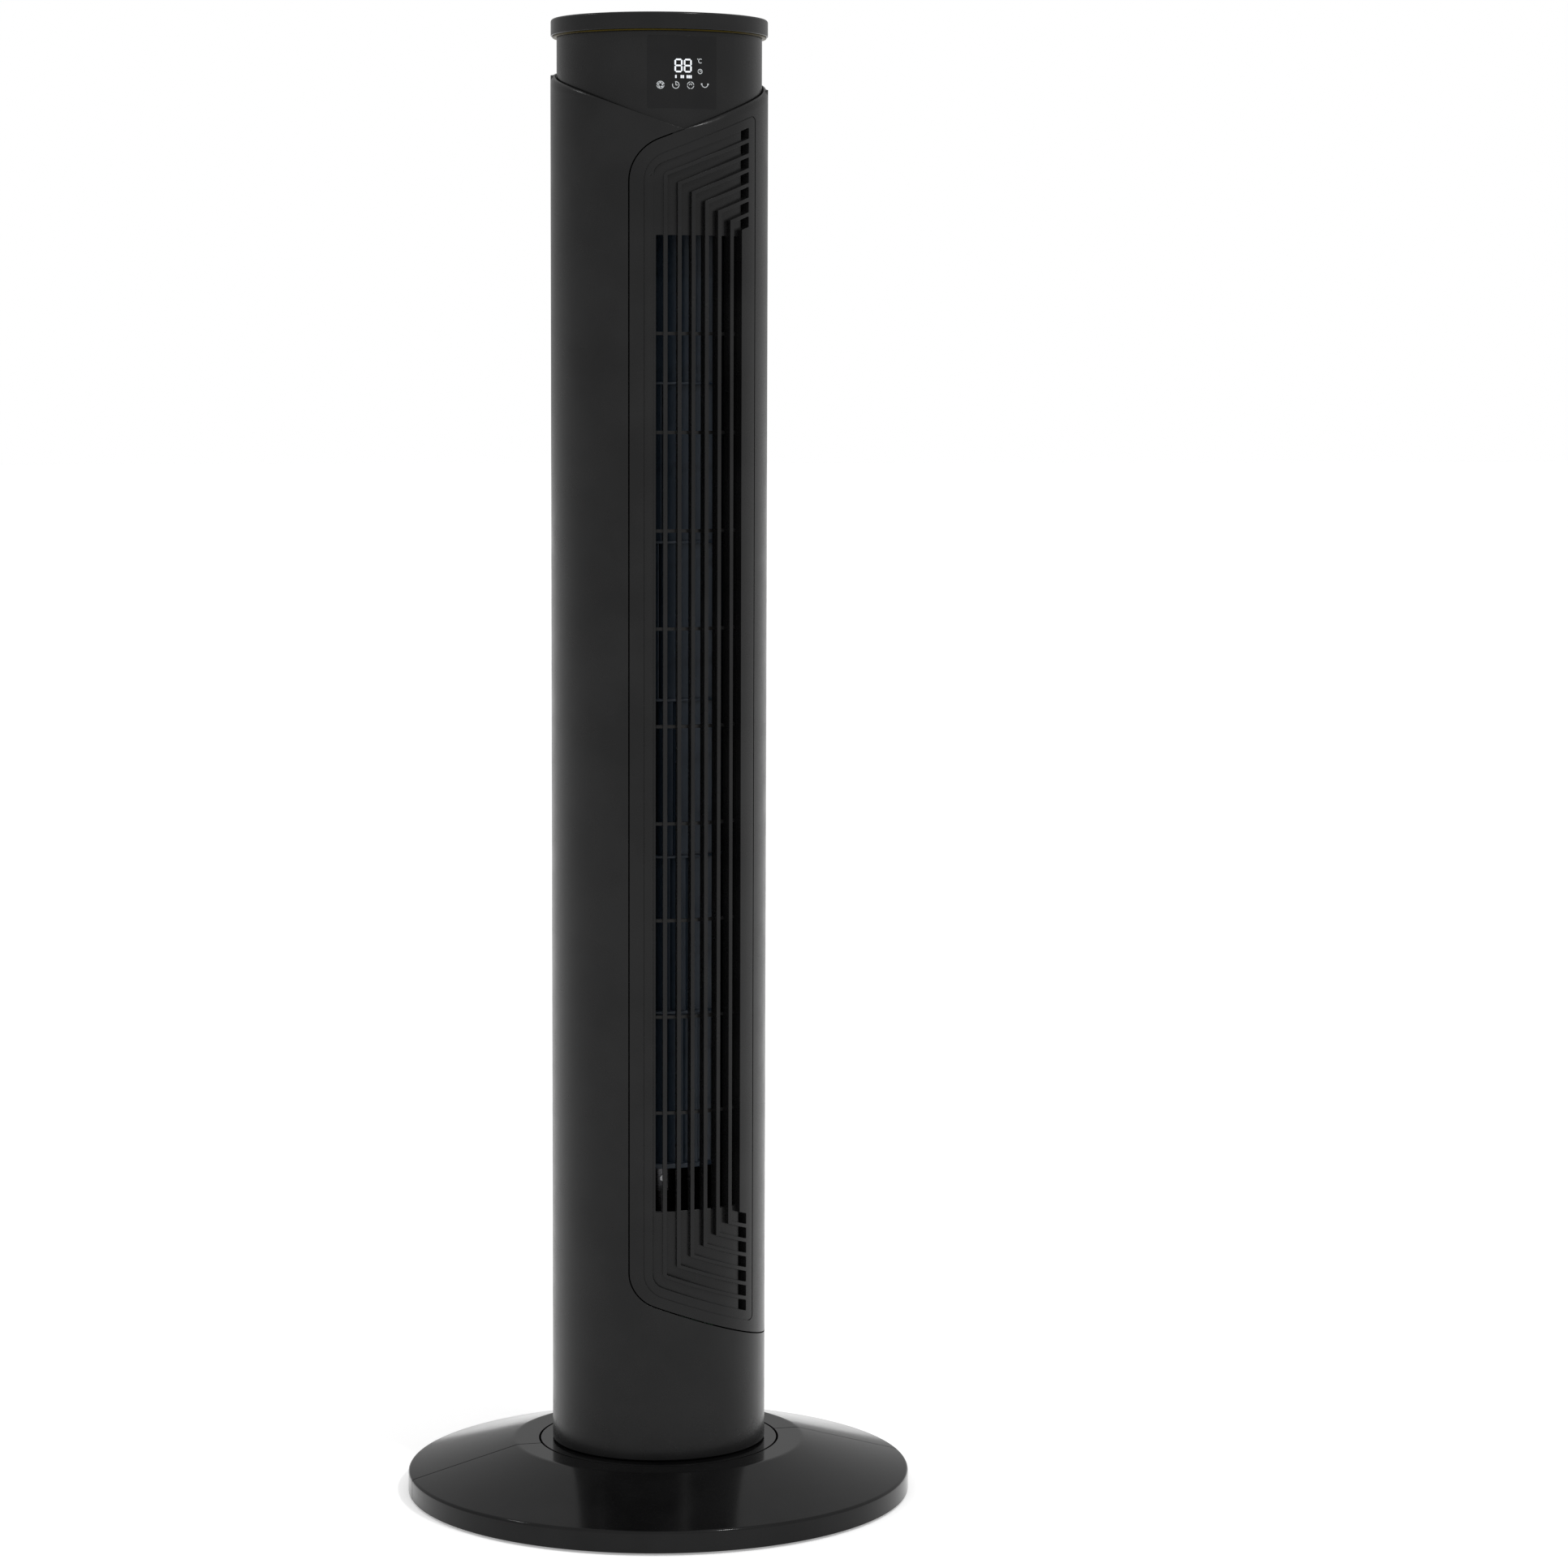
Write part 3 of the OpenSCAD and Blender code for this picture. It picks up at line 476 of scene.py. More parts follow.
class Nodes:
    """A small helper that builds one material's node tree."""

    def __init__(self, name):
        self.material = bpy.data.materials.new(name)
        self.material.use_nodes = True
        self.tree = self.material.node_tree
        self.shader = self.tree.nodes["Principled BSDF"]
        self.place = self.add("ShaderNodeTexCoord").outputs["Object"]

    def add(self, kind, **values):
        node = self.tree.nodes.new(kind)
        for key, value in values.items():
            setattr(node, key, value)
        return node

    def link(self, output, socket):
        self.tree.links.new(output, socket)

    def noise(self, scale, detail=2.0, stretch=(1, 1, 1), roughness=0.5):
        mapping = self.add("ShaderNodeMapping")
        mapping.inputs["Scale"].default_value = stretch
        self.link(self.place, mapping.inputs["Vector"])
        node = self.add("ShaderNodeTexNoise")
        node.inputs["Scale"].default_value = scale
        node.inputs["Detail"].default_value = detail
        node.inputs["Roughness"].default_value = roughness
        self.link(mapping.outputs["Vector"], node.inputs["Vector"])
        return node.outputs["Fac"]

    def remap(self, value, from_min, from_max, to_min, to_max):
        node = self.add("ShaderNodeMapRange")
        values = {"From Min": from_min, "From Max": from_max, "To Min": to_min, "To Max": to_max}
        for key, number in values.items():
            node.inputs[key].default_value = number
        self.link(value, node.inputs["Value"])
        return node.outputs["Result"]

    def mix(self, factor, colour_a, colour_b):
        node = self.add("ShaderNodeMix", data_type="RGBA")
        self.link(factor, node.inputs["Factor"])
        for socket, colour in zip((node.inputs[6], node.inputs[7]), (colour_a, colour_b)):
            if isinstance(colour, tuple):
                socket.default_value = (*colour, 1)
            else:
                self.link(colour, socket)
        return node.outputs[2]

    def bump(self, height, strength, distance, after=None):
        node = self.add("ShaderNodeBump")
        node.inputs["Strength"].default_value = strength
        node.inputs["Distance"].default_value = distance
        self.link(height, node.inputs["Height"])
        if after is not None:
            self.link(after, node.inputs["Normal"])
        return node.outputs["Normal"]

    def upward(self):
        """How far the surface faces up, 0 to 1."""
        geometry = self.add("ShaderNodeNewGeometry")
        parts = self.add("ShaderNodeSeparateXYZ")
        self.link(geometry.outputs["Normal"], parts.inputs["Vector"])
        return self.remap(parts.outputs["Z"], 0.2, 1.0, 0.0, 1.0)

    def times(self, a, b):
        node = self.add("ShaderNodeMath", operation="MULTIPLY")
        for socket, value in zip(node.inputs, (a, b)):
            if isinstance(value, (int, float)):
                socket.default_value = value
            else:
                self.link(value, socket)
        return node.outputs["Value"]


def moulded(name, colour, rough, grain=0.1, dust=0.0, specular=0.5, coat=0.0, streak=0.0):
    """Moulded plastic: fine grain, slow changes of gloss, faint flow lines and a little dust on top."""
    n = Nodes(name)
    shader = n.shader.inputs
    cloud = n.noise(26, 3)
    tint = tuple(min(1, c * 1.22 + 0.002) for c in colour)
    shade_of = n.mix(n.remap(cloud, 0.35, 0.65, 0, 1), colour, tint)
    if dust > 0:
        speck = n.noise(900, 4, roughness=0.7)
        amount = n.times(n.remap(speck, 0.5, 0.72, 0, dust), n.upward())
        shade_of = n.mix(amount, shade_of, (0.42, 0.41, 0.39))
    n.link(shade_of, shader["Base Color"])
    patch = n.noise(55, 4, roughness=0.6)
    n.link(n.remap(patch, 0.3, 0.7, rough * 0.86, rough * 1.16), shader["Roughness"])
    fine = n.noise(2600, 2)
    normal = n.bump(fine, grain, 0.00003)
    if streak > 0:
        flow = n.noise(60, 3, stretch=(6, 6, 0.12))
        normal = n.bump(flow, streak, 0.0002, normal)
    n.link(normal, shader["Normal"])
    shader["Specular IOR Level"].default_value = specular
    shader["Coat Weight"].default_value = coat
    shader["Coat Roughness"].default_value = 0.12
    return n.material


def metal(name, colour, rough, stretch=(1, 1, 1), scale=900, depth=0.00002, metallic=1.0):
    """Plated, turned or rolled metal, with tool marks along one direction and darker, rougher patches."""
    n = Nodes(name)
    shader = n.shader.inputs
    marks = n.noise(scale, 3, stretch=stretch)
    cloud = n.noise(70, 4)
    dull = tuple(c * 0.7 for c in colour)
    n.link(n.mix(n.remap(cloud, 0.35, 0.75, 0, 1), colour, dull), shader["Base Color"])
    n.link(n.remap(marks, 0.3, 0.7, rough * 0.75, rough * 1.3), shader["Roughness"])
    n.link(n.bump(marks, 0.35, depth), shader["Normal"])
    shader["Metallic"].default_value = metallic
    return n.material


def rubber(name, colour):
    """Soft rubber: matt, with a fine pebbled skin and a grey bloom."""
    n = Nodes(name)
    shader = n.shader.inputs
    bloom = n.noise(120, 4)
    n.link(n.mix(n.remap(bloom, 0.4, 0.7, 0, 0.5), colour, (0.06, 0.06, 0.058)), shader["Base Color"])
    n.link(n.remap(bloom, 0.3, 0.7, 0.62, 0.82), shader["Roughness"])
    n.link(n.bump(n.noise(1500, 3), 0.4, 0.00006), shader["Normal"])
    shader["Sheen Weight"].default_value = 0.15
    return n.material


def board(name, mask, track):
    """Circuit board: solder mask over copper tracks, which show as lighter, raised lines."""
    n = Nodes(name)
    shader = n.shader.inputs
    brick = n.add("ShaderNodeTexBrick")
    mapping = n.add("ShaderNodeMapping")
    mapping.inputs["Rotation"].default_value = (math.pi / 2, 0, 0)
    n.link(n.place, mapping.inputs["Vector"])
    n.link(mapping.outputs["Vector"], brick.inputs["Vector"])
    brick.inputs["Scale"].default_value = 130
    brick.inputs["Mortar Size"].default_value = 0.06
    n.link(n.mix(brick.outputs["Fac"], mask, track), shader["Base Color"])
    n.link(n.bump(brick.outputs["Fac"], 0.5, 0.00005), shader["Normal"])
    n.link(n.remap(n.noise(200, 3), 0.3, 0.7, 0.28, 0.42), shader["Roughness"])
    return n.material


def lit(name, colour, strength):
    """Light through a printed diffuser, a little uneven: real light for the display's digits, a painted glow
    where it is used on the printed key symbols.
    """
    n = Nodes(name)
    shader = n.shader.inputs
    glow = n.mix(n.remap(n.noise(500, 2), 0.3, 0.7, 0, 1), tuple(c * 0.9 for c in colour), colour)
    n.link(glow, shader["Emission Color"])
    shader["Emission Strength"].default_value = strength
    shader["Base Color"].default_value = (0.1, 0.1, 0.1, 1)
    shader["Roughness"].default_value = 0.4
    return n.material


materials = {
    "base_gloss": moulded("base_gloss", (0.0025, 0.0025, 0.0026), 0.12, 0.02, dust=0.006, specular=0.17),
    "casing_satin": moulded("casing_satin", (0.004, 0.004, 0.0041), 0.25, 0.05, specular=0.2, streak=0.02),
    "panel_satin": moulded("panel_satin", (0.004, 0.004, 0.0041), 0.26, 0.05, specular=0.2, streak=0.02),
    "neck_satin": moulded("neck_satin", (0.004, 0.004, 0.0041), 0.26, 0.04, specular=0.2),
    "display_dark": moulded("display_dark", (0.0022, 0.0022, 0.0024), 0.16, 0.01, specular=0.19),
    "lit_white": lit("lit_white", (0.9, 0.95, 1.0), 1.0),
    "gold_trim": metal("gold_trim", (0.05, 0.037, 0.007), 0.4),
    "inner_plastic": moulded("inner_plastic", (0.007, 0.007, 0.0073), 0.5, 0.2, dust=0.05, specular=0.25),
    "wheel_plastic": moulded("wheel_plastic", (0.008, 0.013, 0.02), 0.38, 0.1, dust=0.08, specular=0.3),
    "white_pom": moulded("white_pom", (0.74, 0.73, 0.69), 0.33, 0.08),
    "rubber_black": rubber("rubber_black", (0.018, 0.018, 0.018)),
    "bright_steel": metal("bright_steel", (0.1, 0.1, 0.105), 0.24, (1, 1, 30)),
    "motor_steel": metal("motor_steel", (0.4, 0.41, 0.42), 0.38),
    "screw_zinc": metal("screw_zinc", (0.56, 0.57, 0.58), 0.3),
    "board_green": board("board_green", (0.012, 0.09, 0.035), (0.03, 0.2, 0.08)),
    "spring_copper": metal("spring_copper", (0.6, 0.31, 0.14), 0.25),
}


def dress(node, material):
    """Gives a CAD node its material."""
    slots = frame["nodes"][node].data.materials
    slots.clear()
    slots.append(material)


for part in frame["record"]["subparts"]:
    dress(part["node"], materials[part["material_slot"]])
# Painted light: the printed key symbols glow evenly, so the grey print shows bright whatever the lamps do.
dress("key_symbols", lit("symbol_painted_glow", (0.62, 0.66, 0.68), 0.62))


# ---------- tower casing ----------

def panel_edge(grow):
    """The seam round the grille panel from the front: from the lower right, by the left, to the top edge."""
    x0 = panel_left - grow
    right = casing_r * math.sin(math.radians(split_bearing)) - split_gap
    low_z = panel_low_z - slope_grow * grow
    top_z = panel_top_z + 1.07 * grow
    start, finish = Vector((right, low_z - low_fall * right)), Vector((0, top_z))
    a, b = Vector((x0, low_z - low_fall * x0)), Vector((x0, top_z + 0.385 * x0))
    upper = corner(a, b, finish, 27 + grow, 14)
    line = [start.lerp(a, k / 30) for k in range(20)]
    line += corner(start, a, b, 22 + grow, 14) + upper
    line += [upper[-1].lerp(finish, k / 4) for k in range(1, 5)]
    return [line[0]] + [p for p, q in zip(line[1:], line) if (p - q).length > 0.5]


def edge_line(first, last, height):
    """Points of a casing edge between two bearings, every few degrees."""
    count = max(2, round(abs(last - first) / FACET))
    turns = [first + (last - first) * k / count for k in range(count + 1)]
    return [Vector((arc(t), height(t))) for t in turns]


def foot_height(bearing):
    return tower_z


def side_line(bearing):
    """The upright edge of a casing shell, from its foot to its top."""
    top = edge_height(bearing)
    return [Vector((arc(bearing), z)) for z in (tower_z, tower_z + 8, top - 4, top)]


def seam_lip(point):
    return lip_seam


def foot_lip(left, right, point):
    """Rounding of the foot, which stops short of the seams at both ends."""
    return lip_foot if left + 2 < math.degrees(point.x / casing_r) < right - 2 else lip_seam


def edge_lip(point, tip=None):
    """Rounding of a casing edge at a point: large at the top edge and at the foot, fine at the seams."""
    if point.y < tower_z + 0.01:
        return lip_foot
    if abs(point.y - edge_height(math.degrees(point.x / casing_r))) < 0.02:
        return lip_top if tip is None else shrunk(lip_top, (point - tip).length, point.x > tip.x)
    return lip_seam


def shrunk(lip, distance, is_panel):
    """A lip that grows with the distance from a sharp tip: soon on the panel, late on the casing."""
    share = min(1, 0.03 + distance / 22 if is_panel else 0.03 + (distance / 95) ** 2)
    return lip[0] * share, lip[1] * share


def with_corners(lines):
    """Joins edge lines into one loop. The fine lip wins where two of them meet."""
    points, lips = [], []
    for line, lip in lines:
        for i, point in enumerate(line):
            if points and (point - points[-1]).length < 1e-6:
                lips[-1] = min(lips[-1], lip(point))
                continue
            points.append(point)
            lips.append(lip(point))
    if (points[0] - points[-1]).length < 1e-6:
        lips[0] = min(lips[0], lips[-1])
        points.pop()
        lips.pop()
    return points, lips


half_split = math.degrees(split_gap / 2 / casing_r)


def front_casing():
    wall = Wall(casing_r)
    seam = wrap_front(panel_edge(seam_gap))
    tip = seam[-1]
    left, right = split_bearing - 180 + half_split, split_bearing - half_split
    start = math.degrees(tip.x / casing_r)
    tip.y = min(tip.y, edge_height(start))
    beside = side_line(right)[:2] + [Vector((arc(right), seam[0].y - 2)), seam[0]]
    loop, lips = with_corners([
        (edge_line(left, right, foot_height), functools.partial(foot_lip, left, right)),
        (beside + seam[1:], seam_lip),
        (edge_line(start, left, edge_height), functools.partial(edge_lip, tip=tip)),
        (side_line(left)[::-1], seam_lip),
    ])
    upper, lower = wall.side(loop, 0, casing_wall, lips, 6)
    wall.fill(upper)
    wall.fill(lower)
    piece("front_casing_shell", wall.bend(), "tower", "casing_satin", ["front_casing"])


def intake_outline(row, x):
    """One slot at the back. Beside a screw boss it is shorter."""
    z = intake_z + intake_pitch * row
    is_level = any(z < h + 5 and z + intake_h > h - 5 for h in boss_heights)
    is_beside = x == intake_x[0] and is_level
    x0, x1 = x + (boss_clear if is_beside else 0), x + intake_w
    shape = rounded(rectangle(x0, z, x1, z + intake_h), [1.8] * 4, 3)
    return [Vector((arc(180) - p.x, p.y)) for p in wrap_front(shape)]


def rear_casing():
    wall = Wall(casing_r)
    left, right = split_bearing + half_split, split_bearing + 180 - half_split
    loop, lips = with_corners([
        (edge_line(left, right, foot_height), functools.partial(foot_lip, left, right)),
        (side_line(right), seam_lip),
        (edge_line(right, left, edge_height), edge_lip),
        (side_line(left)[::-1], seam_lip),
    ])
    upper, lower = wall.side(loop, 0, casing_wall, lips, 6)
    holes = [intake_outline(row, x) for row in range(intake_rows) for x in intake_x] + [outlet_outline()]
    rims = [wall.side(hole, 0, casing_wall, lip_slot, 2) for hole in holes]
    for side in (-1, 1):
        for z in boss_heights:
            mouths = [wall.ring(tunnel_mouth(side, z, depth), [depth] * 24) for depth in (0, casing_wall)]
            sew(wall.bm, mouths)
            rims.append(mouths)
    wall.fill(upper, [rim[0] for rim in rims])
    wall.fill(lower, [rim[1] for rim in rims])
    bm = wall.bend()
    for side in (-1, 1):
        for z in boss_heights:
            screw_tunnel(bm, side, z)
    piece("rear_casing_shell", bm, "tower", "casing_satin", ["rear_casing"])


def outlet_outline():
    """The round hole that the cord gland sits in."""
    centre = high("cord_gland").z / 2 + low("cord_gland").z / 2
    turns = [math.pi * k / 16 for k in range(32)]
    around = wrap_front([Vector((outlet_r * math.cos(t), centre - outlet_r * math.sin(t))) for t in turns])
    return [Vector((arc(180) + p.x, p.y)) for p in around]


def tunnel_mouth(side, z, depth):
    """Where a screw tunnel, which runs square to the split plane, crosses the wall at a depth."""
    points = []
    for k in range(24):
        turn = side * math.pi * k / 12
        reach = math.acos((boss_ring + tunnel_r * math.cos(turn)) / (casing_r - depth))
        bearing = split_bearing + 90 - side * (90 - math.degrees(reach))
        points.append(Vector((arc(bearing), z - tunnel_r * math.sin(turn))))
    return points


def screw_tunnel(bm, side, z, facets=24):
    """The boss of a casing screw: a tube with a seat for the screw's head, run out to the wall."""
    turn = math.radians(split_bearing)
    across = Vector((side * math.sin(turn), -side * math.cos(turn), 0))
    along = Vector((math.cos(turn), math.sin(turn), 0))
    bore, inside, outside, seat = 1.7, tunnel_r - 0.1, 4.6, 6
    columns = []
    for k in range(facets):
        angle = 2 * math.pi * k / facets
        offsets = [boss_ring + r * math.cos(angle) for r in (outside, tunnel_r)]
        ends = [math.sqrt((casing_r - 1.4) ** 2 - d ** 2) for d in offsets]
        profile = [
            (bore, split_gap / 2), (outside, split_gap / 2), (outside, ends[0]),
            (inside, ends[1]), (inside, seat), (bore, seat), (bore, split_gap / 2),
        ]
        column = []
        for r, d in profile:
            place = across * (boss_ring + r * math.cos(angle)) + along * d
            column.append(bm.verts.new(place + Vector((0, 0, z + r * math.sin(angle)))))
        columns.append(column)
    sew(bm, list(zip(*columns)))


# ---------- grille panel ----------

def bar_left(k):
    return bar_x + bar_pitch * k


def band_edges(k, x):
    """Heights of band k at x: outer and inner edge at the top, inner and outer edge at the bottom."""
    top = band_top[0] - band_top[1] * k + top_rise * (x - window_x0)
    bottom = band_low[0] + band_low[1] * k - low_fall * (x - window_x0)
    return top + band_top[2], top, bottom, bottom - band_low[2]


def band_sides(k):
    left = frame_x if k == 0 else bar_left(k - 1) + bar_w
    right = window_x0 if k == bar_count else bar_left(k)
    return left, right


def band_outline(k):
    x0, x1 = band_sides(k)
    x2 = window_x1 + cut_step
    far, near = band_edges(k, x0), band_edges(k, x1)
    end = band_edges(k, x2)
    big, small = (9, 3.5) if k == 0 else (0.6, 0.3)
    return rounded(
        [
            (x2, end[0]), (x0, far[0]), (x0, far[3]), (x2, end[3]),
            (x2, end[2]), (x1, near[2]), (x1, near[1]), (x2, end[1]),
        ],
        [0.4, big, big, 0.4, 0.4, small, small, 0.4],
        4,
    )


def band_lip(k, point):
    """Rounding of a band's edge: crisp, but a broad soft slope along the left side of the first band."""
    if k > 0 or point.x > wrap_front([Vector((frame_x, 0))])[0].x + 0.01:
        return lip_band
    share = max(0, min(1, (point.y - slot_z0 + 40) / 20))
    return tuple(fine + (soft - fine) * share for fine, soft in zip(lip_band, lip_frame))


def window_outline(k, top):
    x0 = window_cut_x - (first_window if k == 0 else 0)
    edges = slice(0, 2) if top else slice(2, 4)
    high_a, low_a = band_edges(k, x0)[edges]
    high_b, low_b = band_edges(k, window_x1)[edges]
    d = cut_step
    corners = [(x0, low_a + d), (window_x1, low_b + d), (window_x1, high_b - d), (x0, high_a - d)]
    return rounded(corners, [0.4] * 4, 2)


def slot_outline(k):
    x0, x1 = band_sides(k)
    x0 += slot_inset if k == 0 else cut_step
    x1 -= cut_step
    return rounded(rectangle(x0, slot_z0, x1, slot_z1), [0.5] * 4, 2)


def groove_outline(grow):
    x0, x1 = -24 - grow, 49.5 + grow
    low_z = groove_low_z - slope_grow * grow
    top_z = groove_top_z + 1.07 * grow
    corners = [(x, low_z - low_fall * x) for x in (x0, x1)] + [(x, top_z + 0.4 * x) for x in (x1, x0)]
    small = max(3 + grow, 0.8)
    return rounded(corners, [16 + grow, small, small, 18 + grow], 8)


def flat_loop(points):
    """A front-view outline on the flat wall, with points close enough to bend well."""
    return wrap_front(spaced(points, arc(FACET)))


def grille_panel():
    wall = Wall(casing_r)
    right = split_bearing - half_split
    seam = wrap_front(panel_edge(-seam_gap))
    seam[:1] = corner(Vector((arc(right), seam[0].y + 20)), seam[0], seam[1], 3.5)
    tip = seam[-1]
    start = math.degrees(tip.x / casing_r)
    tip.y = min(tip.y, edge_height(start))
    loop, lips = with_corners([
        (seam[::-1] + [Vector((arc(right), seam[0].y + 5))] + side_line(right)[2:], seam_lip),
        (edge_line(right, start, edge_height), functools.partial(edge_lip, tip=tip)),
    ])
    upper, outer_lower = wall.side(loop, 0, casing_wall, lips, 6)

    insert = flat_loop(groove_outline(-2.2))
    insert_upper, insert_lower = wall.side(insert, casing_wall, insert_depth)
    wall.fill(outer_lower, [insert_upper])

    groove_far = wall.side(flat_loop(groove_outline(0))[::-1], 0, groove_depth, lip_groove, 2)
    groove_near = wall.side(flat_loop(groove_outline(-groove_w)), 0, groove_depth, lip_groove, 2)
    wall.fill(upper, [groove_far[0]])
    wall.fill(groove_far[1], [groove_near[1]])

    bands, through = [], []
    for k in range(bar_count + 1):
        depth = first_depth if k == 0 else band_depth
        outline = flat_loop(band_outline(k))[::-1]
        band_upper, band_lower = wall.side(outline, 0, depth, [band_lip(k, p) for p in outline], 5)
        cuts = [slot_outline(k), window_outline(k, True), window_outline(k, False)]
        rims = [wall.side(flat_loop(cut)[::-1], depth, insert_depth) for cut in cuts]
        wall.fill(band_lower, [rim[0] for rim in rims])
        bands.append(band_upper)
        through += [rim[1] for rim in rims]
    wall.fill(groove_near[0], bands)
    wall.fill(insert_lower, through)

    for k in range(rib_count):
        z = rib_z + rib_pitch * k
        rib = [Vector(p) for p in rectangle(arc(-18.5), z - 1, arc(39), z + 1)]
        wall.block(spaced(rib, arc(FACET)), 5.2, 7.8)
    piece("grille_panel_shell", wall.bend(), "tower", "panel_satin", ["grille_panel"])


# ---------- control housing and cap ----------

def control_housing():
    """A tube with a top deck, cut off under the casing's sloping edge."""
    turns = [math.radians(FACET * k) for k in range(round(360 / FACET))]
    bm = bmesh.new()
    rings = []
    inside = neck_r - neck_wall
    for r, is_top in ((neck_r, False), (neck_r, True), (inside, True), (inside, False), (neck_r, False)):
        ring = []
        for t in turns:
            x, y = r * math.sin(t), -r * math.cos(t)
            ring.append(bm.verts.new((x, y, deck_z - 0.4 if is_top else edge_plane(x, y) - neck_tuck)))
        rings.append(ring)
    sew(bm, rings)
    revolve(bm, [(0, deck_z - deck_t), (neck_r - 0.5, deck_z - deck_t), (neck_r - 0.5, deck_z), (0, deck_z)])
    piece("control_housing_shell", bm, "tower", "neck_satin", ["control_housing"])


def display_window():
    wall = Wall(neck_r + 0.02)
    side = arc(display_half, neck_r)
    outline = rounded(rectangle(-side, display_z0, side, display_z1), [1.2] * 4, 4)
    wall.block(spaced(outline, arc(FACET, neck_r)), 0, 1.2, (0.12, 0.12))
    piece("display_window_pane", wall.bend(), "tower", "display_dark", ["display_window"])


def top_cap():
    plate_z, skirt_r = fan_h - 2.6, cap_r - 2.8
    profile = rounded(
        [(0, plate_z), (skirt_r, plate_z), (skirt_r, cap_z), (cap_r, cap_z), (cap_r, fan_h), (0, fan_h)],
        [0, 0, 0.3, 0.5, 1.5, 0], 5,
    )
    piece("top_cap_disc", revolve(bmesh.new(), profile), "tower", "casing_satin", ["top_cap"])


def cap_trim_ring():
    outer = outer_radius("cap_trim_ring")
    profile = rounded(rectangle(outer - 7.1, deck_z, outer, cap_z), [0, 0.2, 0.2, 0], 3)
    piece("cap_trim_band", revolve(bmesh.new(), profile), "tower", "gold_trim", ["cap_trim_ring"])


# ---------- base ----------

def base_profile():
    mouth_r, under_z = well_r + table_ease, plateau_z - base_wall
    return rounded(
        [
            (base_r, rim_z), (base_r, rim_h), (plateau_r, plateau_z), (mouth_r, plateau_z),
            (mouth_r, collar_z), (well_r + base_wall, collar_z), (well_r + base_wall, under_z),
            (plateau_r - 0.4, under_z), (base_r - base_wall, rim_h - base_wall - 0.2),
            (base_r - base_wall, rim_z),
        ],
        [0.5, 2.2, 10, 0.12, 0.3, 0.3, 1, 4, 1, 0.5], 6,
    )


def slope_z(r):
    """Height of the base's sloping top at a radius."""
    return plateau_z - (r - plateau_r) * (plateau_z - rim_h) / (base_r - 1.5 - plateau_r)


def base_half(name, side):
    bm = revolve(bmesh.new(), base_profile(), facet=2)
    cut = Vector((0, side * base_seam / 2, 0))
    found = bmesh.ops.bisect_plane(
        bm, geom=bm.verts[:] + bm.edges[:] + bm.faces[:], dist=1e-5,
        plane_co=cut, plane_no=(0, -side, 0), clear_outer=True,
    )
    edges = [e for e in found["geom_cut"] if isinstance(e, bmesh.types.BMEdge)]
    bmesh.ops.triangle_fill(bm, use_beauty=True, use_dissolve=True, edges=edges)
    seam = [e for e in edges if e.is_valid and min(v.co.z for v in e.verts) > rim_z + 1 and is_outside(e)]
    bmesh.ops.bevel(
        bm, geom=seam, offset=0.3, offset_type="OFFSET", segments=2, profile=0.5,
        affect="EDGES", clamp_overlap=True,
    )
    for a in range(15, 180, 30):
        web(bm, side * a)
    for k in range(4):
        turn = math.radians(side * (22.5 + 45 * k))
        foot = (foot_ring * math.cos(turn), foot_ring * math.sin(turn))
        revolve(bm, rectangle(0, 4, 7, 17), foot, 15)
    if side > 0:
        seam_tongue(bm)
    piece(name + "_shell", bm, "base", "base_gloss", [name])


def seam_tongue(bm):
    """A strip under each seam of the base, on the rear half, that closes the gap to light."""
    def line(d):
        return [
            (well_r + d, collar_z + 1), (well_r + d, plateau_z - d), (plateau_r, plateau_z - d),
            (base_r - d - 0.6, rim_h - d * 0.7), (base_r - d, rim_z + 0.6),
        ]
    strip = line(1.1) + line(2.1)[::-1]
    prism(bm, strip, -2, 1.4, standing())
    prism(bm, strip, -1.4, 2, standing(math.pi))


def is_outside(edge):
    """True for an edge on the base's upper surface, along the seam."""
    for v in edge.verts:
        r = v.co.xy.length
        if r < base_r - 0.6 and v.co.z < slope_z(max(r, plateau_r)) - 0.8:
            return False
    return True


def web(bm, turn):
    """A rib under the base's shell, along a radius."""
    inside, outside, under_z = well_r + 2, base_r - 4, plateau_z - 2
    points = [
        (inside, 11), (outside, 4), (outside, slope_z(outside) - 2), (plateau_r, under_z), (inside, under_z),
    ]
    prism(bm, points, -0.8, 0.8, standing(math.radians(turn)))


def turntable():
    z = plateau_z
    r = table_r - table_ease
    profile = rounded(
        [(8, 4.7), (16, 4.7), (16, z - 3), (r - 2.8, z - 3), (r - 2.8, z - 11), (r, z - 11), (r, z), (8, z)],
        [0.3, 0.5, 1, 0.5, 0.3, 0.3, 0.12, 0.3], 4,
    )
    piece("turntable_disc", revolve(bmesh.new(), profile), "tower", "base_gloss", ["turntable"])


# ---------- impeller ----------

def impeller():
    bm = bmesh.new()
    blades, segments = 26, 6
    disc_t = 3
    inner = 34
    step = (wheel_z1 - disc_t - wheel_z0) / segments
    for s in range(segments):
        z0 = wheel_z0 + s * step + 1
        z1 = wheel_z0 + (s + 1) * step + 0.6
        for b in range(blades):
            stand = Matrix.Rotation(math.radians(360 * b / blades + 2.3 * s), 4, "Z")
            prism(bm, blade_outline(inner), z0, z1, stand)
    for s in range(segments + 1):
        z = wheel_z0 + s * step
        thick = disc_t if s in (0, segments) else 1.6
        hole = {0: 4.3, segments: 3.1}.get(s, inner - 2)
        revolve(bm, rounded(rectangle(hole, z, wheel_r, z + thick), [0.2, 0.5, 0.5, 0.2], 3))
    piece("impeller_wheel", bm, "impeller_set", "wheel_plastic", ["impeller"])


